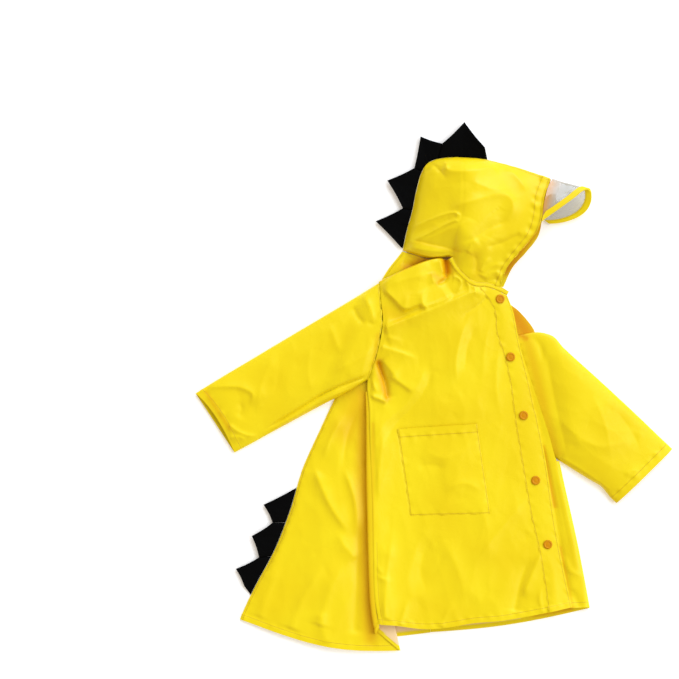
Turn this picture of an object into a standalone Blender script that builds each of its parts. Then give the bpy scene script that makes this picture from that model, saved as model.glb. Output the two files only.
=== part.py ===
"""A child's hooded rain poncho laid flat on its left side, each cut piece a thin wall of coated cloth.

+X runs towards the front placket, +Y towards the hood, and the underside rests on z = 0. The bottom
layer is the left half, the top layer the right half, and the centre back seam is the left outline.
Tables are in millimetres and are scaled to metres when a mesh is made.
"""

import math

import bmesh
import bpy
import numpy as np

MM = 0.001
CENTRE = (-0.5, 2.25, 0.0)  # middle of the laid garment in the tables, which the origin goes under
WALL = 1.2  # coated cloth with its turnings
GAP = 0.3  # between neighbouring pieces
CLOTH_TOP = WALL  # upper face of the bottom layer
RUN_Z = 4.2  # outer face of the back panel where it lies lowest
STRIP_Z = 8.0  # outer face of the left front under the placket
NECK_BAND_WIDTH = 6.4
NECK_BAND_RISE = 1.0
HOOD_HEM_RISE = 0.7
CUFF_HEM_WIDTH = 18.0
CUFF_HEM_RISE = 0.6
POCKET_HEM = 0.13  # share of the pocket's height
POCKET_HEM_RISE = 0.6
POCKET_CORNER = 0.4  # how far a lower corner is rounded, as a share of its cell
SNAP_RADIUS = 7.5
SNAP_SIDES = 16
SNAP_SEAT_REACH = 16.0  # how far round a cap the placket's slope is read
SPIKE_EDGE = 2.4
SPIKE_CROWN = 1.4
SPIKE_CLEAR = 0.6  # between a tooth's underside at its root and the ground
SPIKE_INSET = 0.7  # between a tooth's root and the seam it is sewn in
SPIKE_ROWS = 5
SPIKE_COLUMNS = 7
VISOR_THICKNESS = 1.0
BINDING_WIDTH = 11.0
BINDING_LEAF = 1.0
BINDING_SLACK = 0.6  # between the clear sheet and each leaf of its binding
NECK_GAP = 0.9  # where pieces meet along the curved neck seam
SHARP_EDGE = 35.0  # degrees past which an edge is shaded sharp


def table(columns, *rows):
    """A table as a dictionary of named columns."""
    return dict(zip(columns.split(), np.array(rows, float).T))


def smooth(keys, values, at):
    """Values read at the places `at` on a smooth curve through the values given at the keys."""
    keys, values, at = (np.asarray(a, float) for a in (keys, values, at))
    gap = np.diff(keys).reshape((-1,) + (1,) * (values.ndim - 1))
    slope = np.diff(values, axis=0) / gap
    inner = (slope[:-1] * gap[1:] + slope[1:] * gap[:-1]) / (gap[:-1] + gap[1:])
    lean = np.concatenate([slope[:1], inner, slope[-1:]])
    i = np.clip(np.searchsorted(keys, at, side="right") - 1, 0, len(keys) - 2)
    h = gap[i]
    t = (at - keys[i]).reshape(h.shape) / h
    return (
        (1 + 2 * t) * (1 - t) ** 2 * values[i]
        + t * (1 - t) ** 2 * h * lean[i]
        + t * t * (3 - 2 * t) * values[i + 1]
        + t * t * (t - 1) * h * lean[i + 1]
    )


# ---------------------------------------------------------------- the outlines and sections, in mm

# Centre back seam of the body, from the nape down to the hem.
BACK_SEAM = table(
    "at x y",
    (0, -54, 232), (1, -88, 185), (2, -117, 108), (3, -166, -12), (4, -197, -78), (5, -224, -139),
    (6, -244, -206), (7, -270, -273), (8, -302, -333), (9, -321, -372), (10, -329, -393),
)

# Centre seam of the hood, from the nape over the crown to the top of the face opening.
HOOD_SEAM = table(
    "at x y z",
    (0, -53, 236, 1.6), (1, -46, 268, 1.6), (2, -37, 301, 1.8), (3, -30, 335, 2.2), (4, -21, 366, 3),
    (5, -7, 384, 4), (6, 20, 391, 5), (7, 55, 391, 6.5), (8, 90, 387, 8.5), (9, 142, 373, 13),
    (10, 196, 354, 20),
)

# Face edge of the hood's right side, from the neck to the top of the face opening.
FACE_EDGE = table(
    "at x y z",
    (0, 112, 180, 18), (1, 126, 207, 26), (2, 149, 232, 34), (3, 171, 258, 38), (4, 178, 285, 38.5),
    (5, 183, 320, 34), (6, 195.5, 353, 21.4),
)

# Face edge of the hood's left side, which lies on the ground up to the visor.
UNDER_FACE_EDGE = table(
    "at x y z",
    (0, 118, 172, 1.2), (1, 133, 204, 1.2), (2, 155, 229, 1.2), (3, 176, 256, 1.4), (4, 183, 283, 2.2),
    (5, 188, 320, 8), (6, 196.5, 352.5, 18.6),
)

# Seam between hood and body on the right side, from the shoulder to the placket.
NECK_LINE = table(
    "at x y z",
    (0, 27, 221, 21), (1, 36, 204, 23), (2, 48, 190, 23.5), (3, 66, 177, 22), (4, 88, 175, 18.5),
    (5, 107, 169, 15.5), (6, 125, 160, 13.5),
)
HOOD_NECK_END = 5.1  # the hood stops here, short of the placket

# Neck edge of the hood from the centre back to the start of the neck seam.
NAPE_EDGE = table(
    "at x y z",
    (0, -53, 236, 1.6), (0.5, -42, 232, 14), (1, -30, 228, 19), (2, -8, 222.5, 22), (3, 10, 223, 21),
    (4, 24.5, 225.5, 21),
)

# Top edge of the right front over the shoulder, from the armhole to the start of the neck seam.
SHOULDER_EDGE = table(
    "at x y z",
    (0, -93.6, 178, 15), (1, -72, 189, 22), (2, -44, 201.5, 25), (3, -14, 213.5, 24.5),
    (4, 8, 218.5, 22), (5, 22.5, 216.5, 20.5),
)

# Side seam between front and back, which lies on the ridge, from the hem to the underarm.
SIDE_SEAM = table(
    "at x",
    (-403, -93.2), (-384, -97.4), (-353, -101.2), (-289, -103.6), (-214, -105), (-140, -107.3),
    (-72, -109.2), (-35, -109.9), (0, -111.4), (14, -112.8),
)
SIDE_GAP = 0.5

# Sections of the right front. Its stations are the side seam on the ridge, the two side edges of
# the pocket, the stitch line of the placket and the front edge.
FRONT = table(
    "x_side y_side x_pocket_l x_pocket_r x_stitch x_edge y_edge bow z_side z_near z_mid z_edge",
    (-90.4, 144, -44, 50, 101, 134, 128, 9, 21.7, 25, 22, 12.2),
    (-87.7, 109, -49, 52, 105, 141, 92, 3, 23.2, 21.5, 20.5, 10.8),
    (-96.8, 60, -58, 57, 118, 149.5, 55, 0, 22.0, 19, 18.5, 10.1),
    (0, 13, -64, 64, 128, 160.5, 12, 0, 12.5, 17, 17.5, 9.8),
    (0, -35, -64, 68, 134, 170, -32, 0, 17.0, 15.5, 17, 9.6),
    (0, -72, -62, 72, 137, 175.5, -53, 0, 19.0, 14.5, 15.5, 9.6),
    (0, -144, -51.5, 83, 150, 190.5, -132, 0, 19.0, 14, 15, 9.6),
    (0, -217, -41, 94, 163, 201.5, -209, 0, 19.0, 14, 14.5, 9.6),
    (0, -286, -37, 101, 178, 213, -275, 0, 19.0, 13.5, 14, 9.6),
    (0, -352, -33, 107, 187.5, 224.5, -330, -6, 19.0, 13, 12.5, 9.6),
    (0, -402, -28, 112, 193.5, 233.5, -371, -16, 18.4, 12.4, 10.6, 9.6),
)
FRONT["x_side"][3:] = smooth(SIDE_SEAM["at"], SIDE_SEAM["x"], FRONT["y_side"][3:]) + SIDE_GAP / 2
FRONT_POCKET_TOP, FRONT_POCKET_FOOT = 5, 7  # the sections at the pocket's mouth and foot

# Sections of the right back half below the underarm. The cloth runs from the centre back to a fold
# under the front, turns back to the ridge and rolls up over it to the side seam.
BACK = table(
    "seam_at x_fold y_fold x_ridge y_ridge y_side bow z_mid roll",
    (3, -100, -6, -117, -6, -6, 0, RUN_Z + 0.6, 2.6),
    (4, -98, -60, -116, -56, -55, 0, RUN_Z + 2.5, 5.2),
    (5, -92, -144, -114, -141, -140, 0, RUN_Z + 5, 6.1),
    (6, -87, -220, -111.5, -215, -214, -2, RUN_Z + 6.5, 6.1),
    (7, -82, -296, -110, -290, -289, -4, RUN_Z + 7, 6.1),
    (8, -76, -366, -108.5, -354, -353, -8, RUN_Z + 6, 6.1),
    (9, -71, -410, -105, -389, -384, -13, RUN_Z + 5, 6.1),
    (10, -65.5, -446, -100.5, -417, -403, -17, RUN_Z + 3.5, 5.8),
)
# Above the underarm the same panel runs flat to its armhole, hidden under the sleeve.
BACK_TOP = table(
    "seam_at x_end y_end",
    (0, 8, 213), (1, -30, 172), (2, -77, 102),
)

# Sections of the left front: a strip under the placket, a fold along the right outline, and the
# bottom layer up to the left side seam.
LEFT_FRONT = table(
    "x_inner y_inner x_strip y_strip x_low y_low y_seam",
    (86, 141, 108, 143, 121, 148, 161),
    (92, 124, 122, 122, 148, 127, 136),
    (98, 104, 132, 101, 171, 95, 106),
    (101, 92, 138, 88, 0, 88, 94),
    (108, 68, 147, 64, 0, 64, 70),
    (129, 14, 164, 13, 0, 12, 10),
    (145, -60, 188, -57, 0, -58, -60),
    (154, -112, 203.5, -112, 0, -113, -114),
    (156, -124, 207.5, -124, 207.5, -124, -126),
    (167, -190, 222.5, -190, 222.5, -190, -192),
    (176, -255, 237, -255, 237, -255, -262),
    (190, -318, 249, -315, 249, -317, -338),
    (203, -374, 259.5, -371.5, 259.5, -375, -415),
)


# Where the left side seam meets the section of the bottom layer at each station of the centre back.
BACK_LEFT_SIDE = (163, 118, 68, 8, -62, -128, -194, -264, -338, -385, -415.5)


def on_line(top, foot, y):
    """Where the straight line between two points in plan crosses y."""
    return foot[0] + (y - foot[1]) / (top[1] - foot[1]) * (top[0] - foot[0])


LEFT_UNDERARM = 8  # the fold along the outline begins at this section
OUTLINE_BOW = 7.0  # how far the bottom hem hangs below its chord
LEFT_ARMHOLE = (3, 8)  # the sections whose bottom layer ends at the straight armhole seam
ARMHOLE_TOP, ARMHOLE_FOOT = (141.0, 90.0), (199.0, -113.0)
LEFT_FRONT["x_low"][slice(*LEFT_ARMHOLE)] = on_line(
    ARMHOLE_TOP, ARMHOLE_FOOT, LEFT_FRONT["y_low"][slice(*LEFT_ARMHOLE)]
) - GAP
LEFT_SEAM_TOP, LEFT_SEAM_FOOT = (30.0, 162.0), (-6.0, -416.0)  # ends of the straight left side seam

# Sections of the right sleeve from armhole to cuff: the upper edge and the underarm edge in plan,
# the bulge of the section towards the body and the height of the tube.
SLEEVE_RIGHT = table(
    "at x_upper y_upper x_under y_under bulge height",
    (0, -95.2, 177.6, -115.2, 13, 13.5, 18.5),
    (0.12, -131, 155.5, -142, -3.5, 8, 18),
    (0.3, -187, 122, -184, -25.5, 2, 17),
    (0.5, -249.5, 85, -232, -51.5, 0, 16),
    (0.72, -318, 44, -280, -77.5, 0, 15),
    (0.9, -374, 10.5, -318, -98.5, 0, 14),
    (1, -405, -9, -339, -109.5, 0, 13.5),
)

# Sections of the left sleeve. It comes out from under the left front.
SLEEVE_LEFT = table(
    "at x_upper y_upper x_under y_under bulge height",
    (0, 0, 87.6, 0, -113.5, 0, 6.0),
    (0.05, 172, 93.5, 210, -121.5, 0, 8.5),
    (0.11, 198, 90, 220, -128, 0, 11.5),
    (0.2, 219, 69.5, 234, -137, 0, 14.5),
    (0.45, 281, 13, 264, -155.5, 0, 17),
    (0.7, 336, -38, 285, -168.5, 0, 16),
    (0.9, 382.5, -82.5, 300, -186.5, 0, 14),
    (1, 404, -103, 309, -195, 0, 13),
)

for edge in ("upper", "under"):
    SLEEVE_LEFT[f"x_{edge}"][0] = on_line(ARMHOLE_TOP, ARMHOLE_FOOT, SLEEVE_LEFT[f"y_{edge}"][0]) + GAP

# Centre lines of the visor's two edges, from the right temple over the tip to the left temple.
VISOR_ROOT = table(
    "at x y z",
    (0, 179.5, 285, 37.5), (0.25, 185, 321, 33.2), (0.4, 192, 343, 26), (0.5, 199, 354.2, 20),
    (0.6, 195.5, 343, 14), (0.75, 190, 321, 8.6), (1, 185.5, 284, 3),
)
VISOR_RIM = table(
    "at x y z",
    (0, 182, 281.5, 35.5), (0.15, 203, 298, 36.5), (0.32, 232, 319, 34), (0.45, 253, 334.5, 29),
    (0.53, 263, 334, 23), (0.62, 265.5, 318, 15.5), (0.72, 258, 301, 9.5), (0.82, 241, 288.5, 5.5),
    (0.92, 215, 280.5, 3.6), (1, 191, 278.5, 3),
)

# Teeth of the hood and tail: where they leave the seam, the valley on each side and the tip.
HOOD_SPIKES = table(
    "seam_from seam_to x_from y_from x_tip y_tip x_to y_to lift",
    (8, 5.55, 85.5, 408, 51, 450.5, 14.6, 415.2, 6),
    (5.53, 4.08, 13.9, 414.6, -23, 426.5, -33.4, 373.6, 4),
    (4.06, 2.03, -34, 372.8, -79, 352, -53, 305.4, 5),
    (2.01, 0.06, -53.6, 304.6, -98.6, 283, -56.5, 239.5, 3),
)
TAIL_SPIKES = table(
    "seam_from seam_to x_from y_from x_tip y_tip x_to y_to lift",
    (5.47, 6.33, -237.5, -171.5, -289, -198, -274, -228, 3),
    (6.35, 7.2, -274.4, -228.8, -309, -251, -297, -287, 5),
    (7.22, 8.4, -297.5, -287.8, -336, -307, -322, -336, 3),
)

# Snap caps on the placket: places along the front's sections, and half way from stitch to edge.
SNAPS = table(
    "x y",
    (111, 151), (129, 53), (151, -46), (171.5, -156), (192, -264.5),
)

# Creases: a ridge (or, with a negative rise, a trough) from one end to the other, and how far each
# flank reaches to its left and right.
FOLD_COLUMNS = "x_from y_from x_to y_to rise left right"
FRONT_FOLDS = table(
    FOLD_COLUMNS,
    (-84, 168, -2, 188, 5, 17, 11),
    (-66, 146, -54, 178, 3, 11, 11),
    (-20, 144, -10, 184, 3, 11, 11),
    (72, 160, -86, 78, 4.5, 12, 17),
    (17, 224, 2, 168, -11, 12, 11),
    (40, 118, 34, 10, 3, 16, 13),
    (-10, 46, -88, -62, 3, 13, 13),
    (-96, 56, -84, -24, 5, 11, 10),
    (92, 150, 58, 66, 2.5, 13, 12),
    (-70, -240, -84, -390, 1.8, 14, 12),
    (10, -240, 60, -380, 2.0, 18, 24),
    (130, -236, 150, -370, 1.6, 14, 18),
)
BACK_FOLDS = table(
    FOLD_COLUMNS,
    (-146, -60, -262, -395, 4, 12, 10),
    (-136, -110, -190, -425, 3.5, 11, 12),
    (-208, -150, -300, -372, 3, 8, 12),
    (-126, -190, -136, -420, -2.5, 8, 8),
    (-160, -30, -186, -120, 2.5, 8, 8),
)
HOOD_FOLDS = table(
    FOLD_COLUMNS,
    (-46, 250, 56, 296, 6, 13, 12),
    (60, 262, 140, 318, 5, 26, 22),
    (20, 352, 108, 306, 5, 16, 20),
    (100, 236, 168, 262, -4, 13, 13),
    (-34, 238, 60, 224, 4, 13, 12),
    (74, 190, 90, 244, 4, 13, 13),
    (-14, 352, 26, 300, 4, 15, 16),
)
SLEEVE_RIGHT_FOLDS = table(
    FOLD_COLUMNS,
    (-104, 118, -150, 40, 2.5, 9, 9),
    (-118, 150, -128, 90, 2.5, 7, 9),
    (-196, 108, -252, -28, 2.2, 14, 12),
    (-262, 70, -314, -66, 2.2, 14, 14),
    (-330, 30, -352, -70, 1.8, 10, 12),
)
SLEEVE_LEFT_FOLDS = table(
    FOLD_COLUMNS,
    (198, 60, 262, -130, -3, 14, 12),
    (258, -6, 300, -150, 2.2, 14, 16),
    (304, -60, 344, -140, 1.8, 12, 14),
)


# ---------------------------------------------------------------- shapes from tables

def along(curve, at, columns="x y z"):
    """Points on the smooth curve through a table whose first column is the place along it."""
    at = np.atleast_1d(np.asarray(at, float))
    values = np.stack([curve[c] for c in columns.split()], axis=-1)
    return smooth(curve["at"], values, at)


def places(*stretches):
    """Grid places: for each stretch (from, to, cells), even steps without repeating the joins."""
    runs = [np.linspace(a, b, n + 1)[:-1] for a, b, n in stretches]
    return np.concatenate(runs + [[stretches[-1][1]]])


def offset_plan(points, distance):
    """The points moved sideways in plan, to the left of the way they run."""
    run = np.gradient(points[:, :2], axis=0)
    run /= np.linalg.norm(run, axis=1)[:, None]
    moved = points.copy()
    moved[:, 0] -= run[:, 1] * distance
    moved[:, 1] += run[:, 0] * distance
    return moved


def ease(t):
    """A smooth step from 0 to 1."""
    t = np.clip(t, 0, 1)
    return t * t * (3 - 2 * t)


def unit(vector):
    return vector / np.linalg.norm(vector)


def round_rise(distance, reach):
    """A quarter round: 0 at the edge and 1 from `reach` inwards."""
    t = np.clip(distance / reach, 0, 1)
    return np.sqrt(1 - (1 - t) ** 2)


def fold_lift(x, y, folds):
    """How far the creases of a table raise the cloth at each point."""
    lift = np.zeros_like(x)
    for x0, y0, x1, y1, rise, left, right in zip(*(folds[c] for c in FOLD_COLUMNS.split())):
        length = math.hypot(x1 - x0, y1 - y0)
        ux, uy = (x1 - x0) / length, (y1 - y0) / length
        run = ((x - x0) * ux + (y - y0) * uy) / length
        side = (y - y0) * ux - (x - x0) * uy
        flank = np.where(side > 0, left, right)
        fade = ease(run / 0.3 + 0.3) * ease((1 - run) / 0.3 + 0.3)
        lift += rise * np.exp(-((side / flank) ** 2)) * fade
    return lift


# ---------------------------------------------------------------- meshes

def quad_rows(rows, columns, closed, keep):
    """The grid's cells as rows of four vertex numbers, in order round each cell."""
    across = columns if closed else columns - 1
    cells = []
    for r in range(rows - 1):
        for c in range(across):
            if keep is None or keep[r, c]:
                d = (c + 1) % columns
                cells.append((r * columns + c, (r + 1) * columns + c, (r + 1) * columns + d,
                              r * columns + d))
    return cells


def vertex_normals(points, cells):
    """Unit normals at the points, each the mean of its cells'."""
    p = points[np.array(cells)]
    face = np.cross(p[:, 2] - p[:, 0], p[:, 3] - p[:, 1])
    normal = np.zeros_like(points)
    for corner in range(4):
        np.add.at(normal, np.array(cells)[:, corner], face)
    size = np.linalg.norm(normal, axis=1)[:, None]
    return normal / np.where(size > 0, size, 1)


def slab(name, outer, inner, material, closed=False, keep=None):
    """A closed solid between two grids of points (rows, columns, 3) that share their layout."""
    rows, columns = outer.shape[:2]
    cells = quad_rows(rows, columns, closed, keep)
    count = rows * columns
    faces, edges = [], {}
    for a, b, c, d in cells:
        faces += [(a, b, c), (a, c, d)]
        faces += [(count + a, count + c, count + b), (count + a, count + d, count + c)]
        for edge in ((a, b), (b, c), (c, d), (d, a)):
            back = edge[::-1]
            if back in edges:
                del edges[back]
            else:
                edges[edge] = True
    for a, b in edges:
        faces += [(b, a, count + a), (b, count + a, count + b)]
    points = np.concatenate([outer.reshape(-1, 3), inner.reshape(-1, 3)])
    used = sorted({i for face in faces for i in face})
    number = {old: new for new, old in enumerate(used)}
    add_object(name, points[used], [[number[i] for i in face] for face in faces], material)


def add_object(name, points, faces, material):
    """Points in mm and their faces as an object of that name, shaded smooth but for sharp edges."""
    mesh = bpy.data.meshes.new(name)
    mesh.from_pydata(((np.asarray(points) - CENTRE) * MM).tolist(), [], faces)
    mesh.validate()
    shape = bmesh.new()
    shape.from_mesh(mesh)
    bmesh.ops.recalc_face_normals(shape, faces=shape.faces)
    shape.to_mesh(mesh)
    shape.free()
    mesh.shade_smooth()
    mesh.set_sharp_from_angle(angle=math.radians(SHARP_EDGE))
    mesh.materials.append(material)
    item = bpy.data.objects.new(name, mesh)
    bpy.context.collection.objects.link(item)


def wall(name, outer, material, closed=False, keep=None, raised=None, lowest=None, plumb_row=None):
    """A cloth wall under a grid of outer points.

    `raised` lifts outer points over a plain inside, the inside stays above `lowest`, and the edge
    of the row `plumb_row` is cut straight down.
    """
    rows, columns = outer.shape[:2]
    cells = quad_rows(rows, columns, closed, keep)
    normal = vertex_normals(outer.reshape(-1, 3), cells).reshape(outer.shape)
    inner = outer - normal * WALL
    if plumb_row is not None:
        inner[plumb_row] = outer[plumb_row] - (0, 0, WALL)
    if lowest is not None:
        inner[..., 2] = np.maximum(inner[..., 2], lowest)
    if raised is not None:
        outer = outer + normal * raised[..., None]
    slab(name, outer, inner, material, closed, keep)


def sheet_down(outer):
    """The under side of a gently sloping sheet, straight below its outer points."""
    cells = quad_rows(*outer.shape[:2], False, None)
    normal = vertex_normals(outer.reshape(-1, 3), cells).reshape(outer.shape)
    under = outer.copy()
    under[..., 2] -= WALL / np.clip(normal[..., 2], 0.6, 1)
    return under


def finish(name, color, roughness, alpha=1.0, transmission=0.0):
    """A Principled material."""
    material = bpy.data.materials.new(name)
    material.use_nodes = True
    shader = material.node_tree.nodes["Principled BSDF"]
    shader.inputs["Base Color"].default_value = (*color, 1)
    shader.inputs["Roughness"].default_value = roughness
    shader.inputs["Metallic"].default_value = 0.0
    shader.inputs["Alpha"].default_value = alpha
    shader.inputs["Transmission Weight"].default_value = transmission
    return material


# ---------------------------------------------------------------- the right front and what lies on it

FRONT_ACROSS = places((0, 1, 5), (1, 2, 8), (2, 3, 4), (3, 4, 3))
POCKET_COLUMNS = slice(5, 14)
PLACKET_COLUMNS = slice(17, 21)
EDGE_FALL = 1.6  # from the stitch line's height down to the front edge
SHOULDER_END = 1.62  # station at which the shoulder edge meets the neck seam
SHOULDER_FADE = 0.3  # stations over which its roll ends
SHOULDER_ROLL = np.array([-1.2, 2.2, 0])  # how far the roll goes out behind the shoulder edge
SHOULDER_INWARD = np.array([0.6, -1.1, 0])  # from the roll's outer face to its inner one
SHOULDER_FOOT = 8.6  # height of the roll's lower edge
SHOULDER_SOFTEN = 1.5  # how far the shoulder edge itself is eased down


def shoulder_turn():
    """How fully the right front's top edge is rolled at each column, as a column of shares."""
    return ease((SHOULDER_END - FRONT_ACROSS) / SHOULDER_FADE)[:, None]


def neck_points(at, side):
    """Points beside the neck seam: `side` mm to its left, towards the hood, or right, the body."""
    line = along(NECK_LINE, np.linspace(0, 6, 61))
    beside = offset_plan(line, side)
    return smooth(np.linspace(0, 6, 61), beside, at)


def front_section(i):
    """One section of the right front, at its grid places."""
    row = {name: column[i] for name, column in FRONT.items()}
    stations = [row[f"x_{name}"] for name in ("side", "pocket_l", "pocket_r", "stitch", "edge")]
    x = smooth(range(5), np.array(stations)[:, None], FRONT_ACROSS)[:, 0]
    share = (x - row["x_side"]) / (row["x_edge"] - row["x_side"])
    y = row["y_side"] + share * (row["y_edge"] - row["y_side"])
    y += row["bow"] * np.sin(math.pi * share ** 0.75)
    heights = [row["z_side"], row["z_near"], row["z_mid"], row["z_edge"] + EDGE_FALL, row["z_edge"]]
    z = smooth((0, 0.16, 0.5, 0.88, 1), np.array(heights)[:, None], share)[:, 0]
    return np.stack([x, y, z], axis=-1)


def front_top():
    """Top edge of the right front: over the shoulder, then along the neck seam."""
    shoulder = FRONT_ACROSS < SHOULDER_END
    over = along(SHOULDER_EDGE, FRONT_ACROSS[shoulder] / SHOULDER_END * 5)
    share = (FRONT_ACROSS[~shoulder] - SHOULDER_END) / (4 - SHOULDER_END)
    neck = neck_points(share * 6, -(NECK_BAND_WIDTH / 2 + NECK_GAP))
    return np.concatenate([over, neck])


def front_shell():
    """Outer points of the right front, its shoulder rolled down behind."""
    top = front_top()
    control = [top] + [front_section(i) for i in range(len(FRONT["x_side"]))]
    down = places((0, 1, 3), (1, 2, 3), (2, 3, 3), (3, 4, 4), (4, 5, 3), (5, 6, 2), (6, 8, 6),
                  (8, 9, 3), (9, 10, 3), (10, 11, 3))
    grid = smooth(range(len(control)), control, down)
    x, y = grid[..., 0], grid[..., 1]
    calm = 1 - 0.75 * ease((down[:, None] - 5) / 0.6) * ease((8.6 - down[:, None]) / 0.6) * (
        (FRONT_ACROSS[None] > 0.8) & (FRONT_ACROSS[None] < 2.2)
    )
    edge = ease((4 - FRONT_ACROSS[None]) / 1.2) * ease(FRONT_ACROSS[None] / 0.4)
    grid[..., 2] += fold_lift(x, y, FRONT_FOLDS) * calm * edge
    turn = shoulder_turn()
    rolled = grid[0] + SHOULDER_ROLL * turn
    rolled[:, 2:] += (SHOULDER_FOOT - rolled[:, 2:]) * turn
    grid[0, :, 2:] -= SHOULDER_SOFTEN * turn
    return grid, rolled, down


def right_front(yellow):
    """The right front: an open sheet whose shoulder rolls down behind."""
    grid, rolled, down = front_shell()
    turn = shoulder_turn()
    under = sheet_down(grid)
    under[0] += SHOULDER_INWARD * turn
    inner_roll = rolled + SHOULDER_INWARD * turn
    inner_roll[:, 2:] -= WALL * (1 - turn)
    outer = np.concatenate([rolled[None], grid])
    inner = np.concatenate([inner_roll[None], under])
    keep = np.ones((len(outer) - 1, outer.shape[1] - 1), bool)
    keep[0] = FRONT_ACROSS[:-1] < SHOULDER_END
    slab("right_front", outer, inner, yellow, keep=keep)
    return grid, down


def on_front(grid):
    """A piece that lies on the front: its points moved up by the gap, and the wall above them."""
    under = grid.copy()
    under[..., 2] += GAP
    outer = under.copy()
    outer[..., 2] += WALL
    return outer, under


def pocket(yellow, grid, down):
    rows = (down >= FRONT_POCKET_TOP + 1 - 1e-6) & (down <= FRONT_POCKET_FOOT + 1 + 1e-6)
    patch = grid[rows][:, POCKET_COLUMNS]
    outer, under = on_front(patch)
    depth = np.linspace(0, 1, len(patch))[:, None]
    outer[..., 2] += POCKET_HEM_RISE * (depth < POCKET_HEM)
    keep = np.ones((patch.shape[0] - 1, patch.shape[1] - 1), bool)
    for side, inward in ((0, 1), (-1, -2)):
        for sheet in (outer, under):
            middle = 0.5 * (sheet[-1, inward] + sheet[-2, side])
            sheet[-1, side] += POCKET_CORNER * (middle - sheet[-1, side])
            sheet[-1, side, 2] += GAP / 2
    slab("pocket", outer, under, yellow, keep=keep)


def placket(yellow, grid):
    strip = grid[:, PLACKET_COLUMNS]
    outer, under = on_front(strip)
    slab("placket", outer, under, yellow)
    return outer


def snap_caps(orange, placket_top):
    """Domed round caps with a ring and a dimple, seated on the placket's highest points below them."""
    profile = table(
        "radius z",
        (0, 0), (SNAP_RADIUS, 0), (SNAP_RADIUS, 1.1), (6.8, 2.2), (5.4, 2.7), (4.2, 2.2),
        (2.6, 2.1), (0, 2.4),
    )
    sides = SNAP_SIDES
    turn = np.arange(sides) * 2 * math.pi / sides
    flat = placket_top.reshape(-1, 3)
    cells = quad_rows(*placket_top.shape[:2], False, None)
    normals = vertex_normals(flat, cells)
    for number, (x, y) in enumerate(zip(SNAPS["x"], SNAPS["y"]), 1):
        near = np.hypot(flat[:, 0] - x, flat[:, 1] - y)
        weight = np.exp(-((near / SNAP_SEAT_REACH) ** 2))
        normal = unit((normals * weight[:, None]).sum(0))
        seat = flat[near < SNAP_RADIUS + SNAP_SEAT_REACH]
        rise = seat[:, 2] + ((seat[:, 0] - x) * normal[0] + (seat[:, 1] - y) * normal[1]) / normal[2]
        middle = np.array([x, y, np.sort(rise)[-3:].mean() + GAP])
        side = unit(np.cross([0, 1, 0], normal))
        ahead = np.cross(normal, side)
        points = [middle]
        for radius, z in zip(profile["radius"][1:-1], profile["z"][1:-1]):
            ring = radius * (np.cos(turn)[:, None] * side + np.sin(turn)[:, None] * ahead)
            points += list(middle + ring + normal * z)
        points.append(middle + normal * profile["z"][-1])
        rings = len(profile["z"]) - 2
        last = len(points) - 1
        faces = []
        for s in range(sides):
            t = (s + 1) % sides
            faces.append((0, 1 + t, 1 + s))
            for r in range(rings - 1):
                a, b = 1 + r * sides, 1 + (r + 1) * sides
                faces += [(a + s, a + t, b + t), (a + s, b + t, b + s)]
            top = 1 + (rings - 1) * sides
            faces.append((last, top + s, top + t))
        add_object(f"snap_cap_{number}", points, faces, orange)


def neck_band(yellow):
    """The narrow band sewn over the neck seam, from the shoulder to the placket."""
    at = np.linspace(0.05, 5.95, 19)
    half = NECK_BAND_WIDTH / 2
    strips = [neck_points(at, half * (1 - 2 * share)) for share in (0, 0.25, 0.75, 1)]
    outer = np.stack(strips, axis=1)
    outer[..., 2] += NECK_BAND_RISE * np.array([0.4, 1, 1, 0.4])
    inner = np.stack(strips, axis=1)
    inner[..., 2] -= WALL
    slab("neck_band", outer, inner, yellow)


# ---------------------------------------------------------------- the back and the left front

BACK_ROLL_REACH = 7.0
FOLD_RADIUS = 1.3  # of the fold hidden under the front
BACK_INSET = 0.9  # of the bottom layer from the centre back seam
BACK_SAG = 22.0  # how far the bottom layer's hem hangs below its chord
BACK_CELLS = dict(seam=4, run=10, fold=4, turn=2, ridge=6, top=1)
BACK_RUN_COLUMNS = BACK_CELLS["seam"] + BACK_CELLS["run"]


def back_run(seam, end, bow, z_mid, z_end):
    """The panel from its rolled centre back edge to the end of its run, in plan a bowed line."""
    length = np.linalg.norm(end - seam)
    near = BACK_ROLL_REACH * (1 - np.cos(np.linspace(0, math.pi / 2, BACK_CELLS["seam"] + 1)))
    far = np.linspace(BACK_ROLL_REACH, length, BACK_CELLS["run"] + 1)[1:]
    distance = np.concatenate([near, far])
    share = distance / length
    plan = seam + share[:, None] * (end - seam)
    plan[:, 1] += bow * np.sin(math.pi * share ** 1.1)
    level = smooth((0, 0.45, 1), [[RUN_Z], [z_mid], [z_end]], share)[:, 0]
    z = (CLOTH_TOP + GAP) + (level - CLOTH_TOP - GAP) * round_rise(distance, BACK_ROLL_REACH)
    return np.column_stack([plan, z])


def arc(centre, ahead, radius, base_z, cells):
    """Half a turn upwards about a level axis: out along `ahead`, up and back."""
    angle = np.linspace(0, math.pi, cells + 1)[1:, None]
    plan = centre + np.sin(angle) * radius * ahead
    return np.column_stack([plan, base_z + radius * (1 - np.cos(angle[:, 0]))])


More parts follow.
